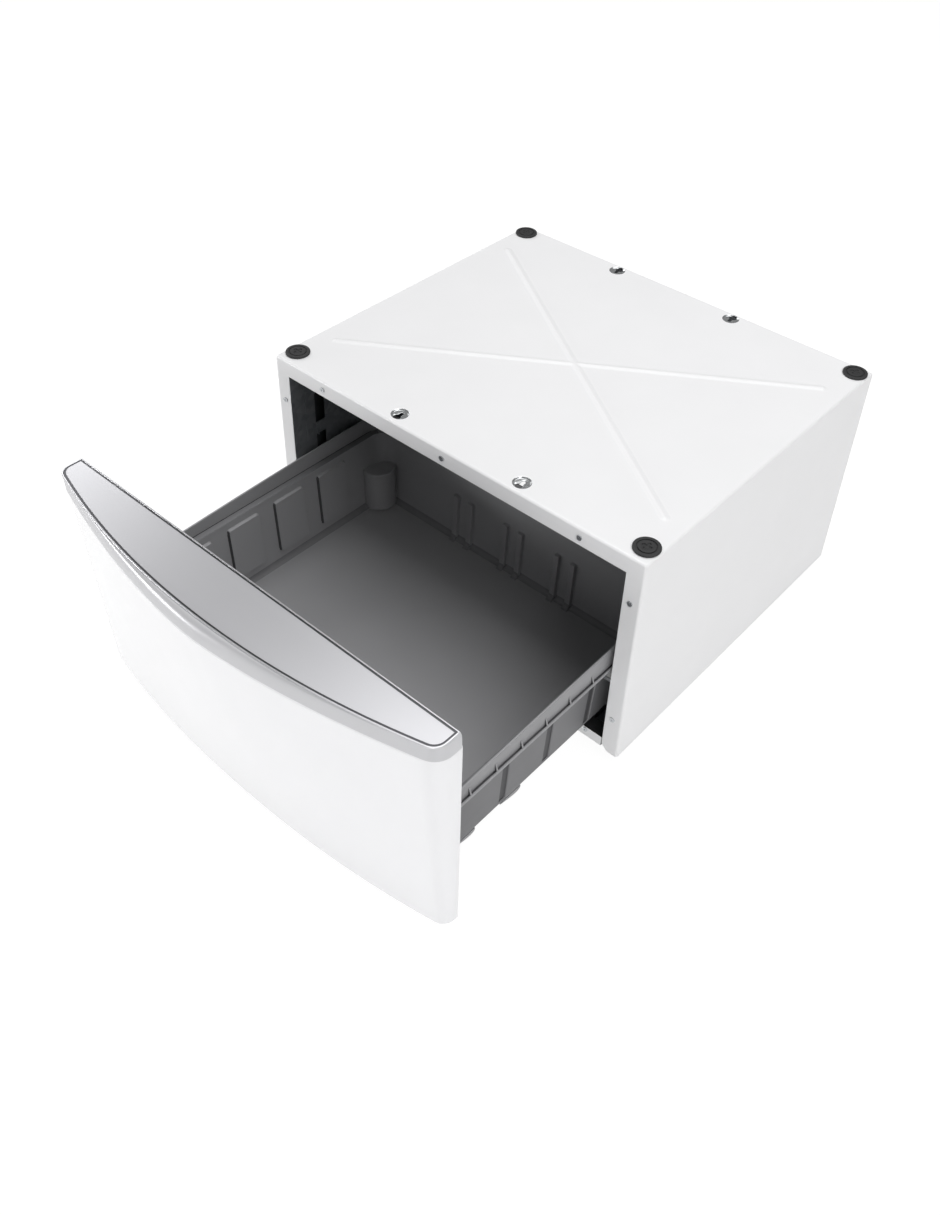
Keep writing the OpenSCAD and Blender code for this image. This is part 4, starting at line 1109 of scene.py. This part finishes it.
# Outlines round a bead, as shares of its half width, and rings round a dish's edge in mm
BEAD_SHARES = (0.16, 0.34, 0.52, 0.7, 0.86, 1.0, 1.18)
DISH_STEPS = (-1.2, 0.0, 0.3, 0.75, 1.2, 1.65, 2.1, 2.4, 2.8)

@dataclass
class Cabinet:
    """Folded sheet metal body with beads, bolt dishes and the front opening (mm)."""

    bend_r: float = 4.0
    bend_steps: int = 6
    sheet_t: float = 1.0
    fold_t: float = 0.9
    return_w: float = 14.0
    open_x: float = 315.5
    open_z: float = 367.0
    chamfer: float = 10.0
    bead_w: float = 16.0
    bead_h: float = 1.75
    bead_end: tuple[float, float] = (306.0, 203.5)
    dish_r: float = 13.5
    dish_deep: float = 2.0
    dish_slope: float = 2.4
    dish_facets: int = 40
    snug: float = 0.01
    open_area: float = 0.1
    key_facets: int = 16
    bolt_x: float = 113.0
    bolt_shift: float = 13.0
    bolt_ys: tuple[float, float] = (-274.5, 278.5)
    key_r: float = 6.0
    key_slot_r: float = 3.0
    key_shift: float = 6.5
    key_reach: float = 3.5
    low: Vector = field(default_factory=lambda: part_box("cabinet_wrapper")[0] / MM)
    high: Vector = field(default_factory=lambda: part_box("cabinet_wrapper")[1] / MM)
    top_z: float = 394.0

    def dishes(self) -> list[tuple[float, float, int]]:
        """List the bolt dishes.

        Returns:
            x, y and the end (-1 front, 1 back) that the keyhole's wide end faces.
        """
        return [(s * self.bolt_x - end * self.bolt_shift, y, end)
                for end, y in zip((-1, 1), self.bolt_ys) for s in (-1, 1)]

    def bead_rise(self, x: float, y: float) -> float:
        """Give the height of the two crossed beads at one place."""
        rise = 0.0
        end = Vector(self.bead_end)
        for sign in (-1, 1):
            axis = Vector((end.x, sign * end.y))
            share = min(max(Vector((x, y)).dot(axis) / axis.length_squared, -1), 1)
            reach = (Vector((x, y)) - axis * share).length / (self.bead_w / 2)
            if reach < 1:
                rise = max(rise, self.bead_h * (0.5 + 0.5 * math.cos(math.pi * reach)))
        return rise

    def height(self, x: float, y: float) -> float:
        """Give the top's height over its flat level at one place."""
        for cx, cy, *_ in self.dishes():
            reach = math.hypot(x - cx, y - cy)
            if reach <= self.dish_r + self.snug:
                return -self.dish_deep * smooth_step((self.dish_r - reach) / self.dish_slope)
        return self.bead_rise(x, y)

    def keyhole(self, cx: float, cy: float, end: int, grow: float = 0.0) -> list[Vector]:
        """Outline a keyhole, drawn out by grow.

        Args:
            cx: Middle of the dish in x.
            cy: Middle of the dish in y.
            end: End of the cabinet that the wide end faces.
            grow: Distance that the outline is drawn out.

        Returns:
            Points of the closed outline.
        """
        wide, slot = self.key_r + grow, self.key_slot_r + grow
        neck = math.asin(slot / wide)
        points = []
        for angle in turns(self.key_facets, math.tau - 2 * neck):
            angle += neck
            points.append((wide * math.sin(angle), self.key_shift - wide * math.cos(angle)))
        for angle in turns(self.key_facets // 2, math.pi):
            points.append((-slot * math.cos(angle), -self.key_reach - slot * math.sin(angle)))
        return [Vector((cx + x * end, cy + y * end)) for x, y in points]

    def stadium(self, axis: Vector, radius: float) -> list[Vector]:
        """Outline a round-ended strip round the line from -axis to axis."""
        side = Vector((-axis.y, axis.x)).normalized()
        along = axis.normalized()
        return [flip * (axis + radius * (math.sin(a) * along - math.cos(a) * side))
                for flip in (1, -1) for a in turns(self.key_facets // 2, math.pi)]

    def top_lines(self) -> tuple[list[Vector], list[tuple[int, int]]]:
        """Collect the places and lines that the top's triangles must keep.

        Returns:
            Points, and edges as pairs of their numbers.
        """
        points: list[Vector] = []
        edges: list[tuple[int, int]] = []

        def add(loop: Sequence[Vector], closed: bool = True) -> None:
            """Add one line of the drawing."""
            start = len(points)
            points.extend(loop)
            count = len(loop)
            edges.extend((start + i, start + (i + 1) % count)
                         for i in range(count if closed else count - 1))

        inner = Vector((self.high.x - self.bend_r, self.high.y - self.bend_r))
        add([Vector((sx * inner.x, sy * inner.y)) for sx, sy in ((-1, -1), (1, -1), (1, 1), (-1, 1))])
        for sign in (-1, 1):
            axis = Vector((self.bead_end[0], sign * self.bead_end[1]))
            add([-axis, axis], closed=False)
            for share in BEAD_SHARES:
                add(self.stadium(axis, self.bead_w / 2 * share))
        for cx, cy, end in self.dishes():
            for step in DISH_STEPS:
                radius = self.dish_r - step
                add([Vector((cx + radius * math.cos(a), cy + radius * math.sin(a)))
                     for a in turns(self.dish_facets, math.tau)[:-1]])
            add(self.keyhole(cx, cy, end))
        return points, edges

    def add_top(self, bm: BMesh) -> None:
        """Add the top face with its beads, dishes and keyholes."""
        points, edges = self.top_lines()
        places, _, faces, *_ = delaunay_2d_cdt(points, edges, [], 0, WELD / MM / 100)
        verts = [bm.verts.new(Vector((p.x, p.y, self.top_z + self.height(p.x, p.y))) * MM)
                 for p in places]
        holes = [(Vector((cx, cy)), self.keyhole(cx, cy, end)) for cx, cy, end in self.dishes()]
        for corners in faces:
            middle = sum((places[i] for i in corners), Vector((0, 0))) / len(corners)
            near = next((h for c, h in holes if (middle - c).length < self.dish_r), None)
            if near and inside(middle, near):
                continue
            face = bm.faces.new([verts[i] for i in corners])
            face.material_index = 1 if near else 0

    def shell_rings(self) -> list[list[Vector]]:
        """List the rings of the bends and walls, from the top's edge to the lower edge."""
        cx, cy = self.high.x - self.bend_r, self.high.y - self.bend_r
        levels = [(self.bend_r * math.sin(a), self.top_z - self.bend_r * (1 - math.cos(a)))
                  for a in turns(self.bend_steps)]
        rings = []
        for radius, z in levels + [(self.bend_r, self.low.z)]:
            ring = []
            for sx, sy, first in ((1, 1, 0), (-1, 1, 1), (-1, -1, 2), (1, -1, 3)):
                for turn in turns(self.bend_steps):
                    turn += QUARTER * first
                    ring.append(Vector((sx * cx + radius * math.cos(turn),
                                        sy * cy + radius * math.sin(turn), z)) * MM)
            rings.append(ring)
        return rings

    def add_flange(self, bm: BMesh, sign: int) -> None:
        """Add the front or rear flange round its opening.

        Args:
            bm: Mesh that receives the flange.
            sign: -1 for the front, 1 for the back.
        """
        x1, z1, low = self.high.x - self.bend_r, self.top_z - self.bend_r, self.low.z
        if sign < 0:
            inner = [(self.open_x + self.chamfer, low), (self.open_x, low + self.chamfer),
                     (self.open_x, self.open_z)]
        else:
            reach = self.high.x - self.return_w
            inner = [(reach, low), (reach, self.top_z - self.return_w)]
        half = [(x1, z1), (x1, low)] + inner
        outline = half + [(-x, z) for x, z in reversed(half)]
        face = bm.faces.new([bm.verts.new(Vector((x, sign * self.high.y, z)) * MM)
                             for x, z in outline])
        face.normal_update()

    def add_bottom_fold(self, bm: BMesh) -> None:
        """Fold the lower edge of both sides inwards."""
        reach, z = self.high.y - self.bend_r, self.low.z + self.fold_t
        for side in Side:
            near, far = (side.value * (self.high.x - w) for w in (self.sheet_t, self.return_w))
            bm.faces.new([bm.verts.new(Vector((x, y, z)) * MM) for x, y in (
                (near, -reach), (far, -reach), (far, reach), (near, reach))])

    def build(self) -> None:
        """Fold the cabinet from one sheet."""
        bm = bmesh.new()
        loft(bm, self.shell_rings(), close=False)
        reach = (self.high.y - self.snug) * MM
        flat = [f for f in bm.faces if abs(f.calc_center_median().y) > reach
                and f.calc_area() > self.open_area]
        bmesh.ops.delete(bm, geom=flat, context="FACES_ONLY")
        self.add_top(bm)
        for sign in (-1, 1):
            self.add_flange(bm, sign)
        bmesh.ops.remove_doubles(bm, verts=bm.verts, dist=2 * WELD)
        bmesh.ops.dissolve_degenerate(bm, edges=bm.edges, dist=WELD / 10)
        bmesh.ops.recalc_face_normals(bm, faces=bm.faces)
        lid = max(bm.faces, key=lambda f: f.calc_center_median().z)
        if lid.normal.z < 0:
            bmesh.ops.reverse_faces(bm, faces=bm.faces)
        shell = finish_piece(bm, "folded_cabinet", WHITE_ENAMEL, "cabinet",
                             ["cabinet_wrapper"], outward=False, level=False)
        # Inner faces get the darkened ground coat: painted shade inside the cabinet
        for finish in (DISH_ZINC, INNER_SHADE_SHEET, INNER_SHADE_SHEET):
            shell.data.materials.append(finish.make())
        wall = shell.modifiers.new("sheet", "SOLIDIFY")
        wall.thickness = self.sheet_t * MM
        wall.offset = -1
        wall.material_offset = 2
        wall.material_offset_rim = 0
        add_level_normals(shell)
        bm = bmesh.new()
        self.add_bottom_fold(bm)
        bmesh.ops.solidify(bm, geom=bm.faces[:], thickness=self.fold_t * MM)
        finish_piece(bm, "cabinet_lower_folds", WHITE_ENAMEL, "cabinet")


@dataclass
class RubberPads:
    """Four rubber pads with a ring groove and a four-lobed recess (mm)."""

    radius: float = 18.75
    groove: float = 13.0
    groove_w: float = 1.5
    deep: float = 1.5
    lobe_r: float = 2.5
    lobe_place: float = 5.0
    stem_r: float = 3.0
    stem_edge: float = 0.5
    steps: int = 64
    edge: float = 0.7
    top_edge: tuple[tuple[float, float], ...] = ((0.0, 1.1), (0.3, 0.4), (1.0, 0.0))
    lip: float = 0.35
    draft: float = 0.15
    middle_r: float = 8.4
    middle_rings: int = 24
    lobes: int = 4
    hub_r: float = 0.75
    slope: float = 0.8
    sharp_deg: float = 50.0

    def recess(self, x: float, y: float) -> float:
        """Give the depth of the four-lobed recess at one place."""
        reach = math.hypot(x, y) - self.lobe_r - self.hub_r
        for turn in turns(self.lobes, math.tau)[:-1]:
            lobe_x, lobe_y = self.lobe_place * math.cos(turn), self.lobe_place * math.sin(turn)
            reach = min(reach, math.hypot(x - lobe_x, y - lobe_y) - self.lobe_r)
        return self.deep * smooth_step(0.5 - reach / self.slope)

    def section(self, low: float, top: float) -> list[tuple[float, float]]:
        """List the turned section of a pad.

        Args:
            low: Height of the stem's lower end.
            top: Height of the pad's top.

        Returns:
            Points (radius, height) from the stem's end over the rim to the middle.
        """
        base, lip, floor = Cabinet.top_z, top - self.lip, top - self.deep
        inner, outer = self.groove - self.groove_w / 2, self.groove + self.groove_w / 2
        line = [(self.stem_r - self.stem_edge, low), (self.stem_r, low + self.stem_edge),
                (self.stem_r, base), (self.radius - self.edge, base),
                (self.radius, base + self.edge)]
        line += [(self.radius - x, top - z) for x, z in self.top_edge]
        line += [(outer + self.lip, top), (outer, lip), (outer - self.draft, floor),
                 (inner + self.draft, floor), (inner, lip), (inner - self.lip, top)]
        step = self.middle_r / self.middle_rings
        return line + [(self.middle_r - step * i, top) for i in range(self.middle_rings)]

    def build(self) -> None:
        """Build the pads on their nodes' places."""
        for name in ("front_left", "front_right", "back_left", "back_right"):
            low, high = (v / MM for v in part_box("pad_" + name))
            middle = (low + high) / 2
            rings = []
            for radius, z in self.section(low.z, high.z):
                ring = []
                for angle in turns(self.steps, math.tau)[:-1]:
                    x, y = radius * math.cos(angle), radius * math.sin(angle)
                    dip = self.recess(x, y) if z == high.z else 0.0
                    ring.append(Vector((middle.x + x, middle.y + y, z - dip)) * MM)
                rings.append(ring)
            finish_piece(lofted(rings), "rubber_" + name, RUBBER, "cabinet",
                         ["pad_" + name], sharp_deg=self.sharp_deg)


# Nodes that keep their CAD shape


@dataclass
class Hardware:
    """Sheet parts, rails, rollers, feet and fasteners that keep their CAD shape."""

    nodes: dict[str, Object]
    finishes: dict[str, Finish]
    rail_shaded_behind: str = "front_bottom_rail"
    facing: float = 0.5

    def dress(self) -> None:
        """Give every remaining node the finish of its slot, with painted shade on the front rail."""
        for row in frame["record"]["subparts"]:
            node = self.nodes[row["node"]]
            finish = self.finishes[row["material_slot"]]
            node.data.materials.clear()
            node.data.materials.append(finish.make())
            # The front rail keeps its enamel only on the faces that face the front; the rest is
            # black, painted shade under the tub
            if row["node"] == self.rail_shaded_behind:
                node.data.materials.append(RAIL_SHADE_BLACK.make())
                for face in node.data.polygons:
                    face.material_index = 0 if face.normal.y < -self.facing else 1
        LOG.info("hardware: %d nodes dressed", len(self.nodes))


# Studio

@dataclass(frozen=True)
class Lamp:
    """A soft rectangular lamp: metres and watts."""

    name: str
    place: tuple[float, float, float]
    size: tuple[float, float]
    power: float
    aim: tuple[float, float, float] = (0.0, -0.2, 0.2)


# A wide soft box overhead, a key and a low strip on the right, and two lamps on the left
LAMPS = (
    Lamp("overhead", (0.5, 0.3, 2.8), (3.6, 2.6), 63, aim=(0.5, 0.3, 0.0)),
    Lamp("left", (-3.1, 0.4, 1.8), (1.4, 1.4), 21),
    Lamp("key", (2.4, -1.3, 2.4), (1.2, 1.2), 14),
    Lamp("low left", (-2.4, -2.6, 0.45), (1.2, 0.7), 37),
    Lamp("low right", (2.2, -2.9, 0.35), (1.4, 0.4), 28),
)


@dataclass
class Studio:
    """Camera at the photo's viewing angle, pale floor and soft light."""

    place: tuple[float, float, float] = (0.87995, -1.25253, 1.38257)
    azimuth: float = 40.54
    elevation: float = 40.006
    roll: float = 1.838
    lens: float = 35.34
    shift: tuple[float, float] = (-0.0032, -0.0820)
    floor_reach: float = 14.0
    floor_paint: tuple[float, float, float, float] = (0.9, 0.9, 0.9, 1.0)
    floor_white: float = 1.09
    shadow_share: float = 0.12
    sky: float = 0.23

    def add_camera(self) -> None:
        """Place the camera that took the photo's view."""
        az, el, roll = (math.radians(a) for a in (self.azimuth, self.elevation, self.roll))
        back = Vector((math.sin(az) * math.cos(el), -math.cos(az) * math.cos(el), math.sin(el)))
        right = Vector((math.cos(az), math.sin(az), 0))
        up = back.cross(right)
        right, up = (right * math.cos(roll) + up * math.sin(roll),
                     up * math.cos(roll) - right * math.sin(roll))
        data = bpy.data.cameras.new("camera")
        data.lens = self.lens
        data.shift_x, data.shift_y = self.shift
        camera = bpy.data.objects.new("camera", data)
        turn = Matrix((right, up, back)).transposed().to_4x4()
        camera.matrix_world = Matrix.Translation(self.place) @ turn
        bpy.context.scene.collection.objects.link(camera)
        bpy.context.scene.camera = camera

    def add_floor(self) -> None:
        """Lay the pale floor, white to the camera and with a faint shadow."""
        bm = bmesh.new()
        bmesh.ops.create_grid(bm, x_segments=1, y_segments=1, size=self.floor_reach)
        mesh = bpy.data.meshes.new("floor")
        bm.to_mesh(mesh)
        bm.free()
        floor = bpy.data.objects.new("floor", mesh)
        bpy.context.scene.collection.objects.link(floor)
        material = bpy.data.materials.new("studio_floor")
        material.use_nodes = True
        tree = material.node_tree
        tree.nodes.clear()
        white = add_node(tree, "ShaderNodeEmission", Strength=self.floor_white)
        paint = add_node(tree, "ShaderNodeBsdfDiffuse", Color=self.floor_paint)
        keep = add_node(tree, "ShaderNodeMixShader",
                        {"1": white.outputs[0], "2": paint.outputs[0]}, Fac=self.shadow_share)
        rays = add_node(tree, "ShaderNodeLightPath")
        seen = add_node(tree, "ShaderNodeMath", {
            "0": rays.outputs["Is Camera Ray"], "1": rays.outputs["Is Glossy Ray"]},
            operation="MAXIMUM")
        clear = add_node(tree, "ShaderNodeMath", {
            "0": seen.outputs[0], "1": rays.outputs["Is Transmission Ray"]}, operation="MAXIMUM")
        mix = add_node(tree, "ShaderNodeMixShader", {
            "0": clear.outputs[0], "1": paint.outputs[0], "2": keep.outputs[0]})
        add_node(tree, "ShaderNodeOutputMaterial", {"Surface": mix.outputs[0]})
        mesh.materials.append(material)

    @staticmethod
    def add_lamp(lamp: Lamp) -> None:
        """Hang one lamp, turned to its aim."""
        data = bpy.data.lights.new(lamp.name, "AREA")
        data.shape = "RECTANGLE"
        data.size, data.size_y = lamp.size
        data.energy = lamp.power
        hung = bpy.data.objects.new(lamp.name, data)
        turn = (Vector(lamp.place) - Vector(lamp.aim)).to_track_quat("Z", "Y")
        hung.matrix_world = Matrix.Translation(lamp.place) @ turn.to_matrix().to_4x4()
        bpy.context.scene.collection.objects.link(hung)

    def add_light(self) -> None:
        """Light the object evenly from above, with softer lamps from both sides."""
        world = bpy.data.worlds.new("studio")
        bpy.context.scene.world = world
        world.use_nodes = True
        sky = world.node_tree.nodes["Background"]
        sky.inputs["Color"].default_value = (1, 1, 1, 1)
        sky.inputs["Strength"].default_value = self.sky
        for lamp in LAMPS:
            self.add_lamp(lamp)

    def build(self) -> None:
        """Set the whole stage."""
        self.add_camera()
        self.add_floor()
        self.add_light()
        bpy.context.scene.view_settings.view_transform = "Standard"


def main() -> None:
    """Build the model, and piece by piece."""
    logging.basicConfig(level=logging.INFO, format="%(name)s %(message)s")
    Hardware(frame["nodes"], SLOT_FINISHES).dress()
    Cabinet().build()
    RubberPads().build()
    DrawerFront().build()
    Tub().build()
    Studio().build()


if __name__ == "__main__":
    main()
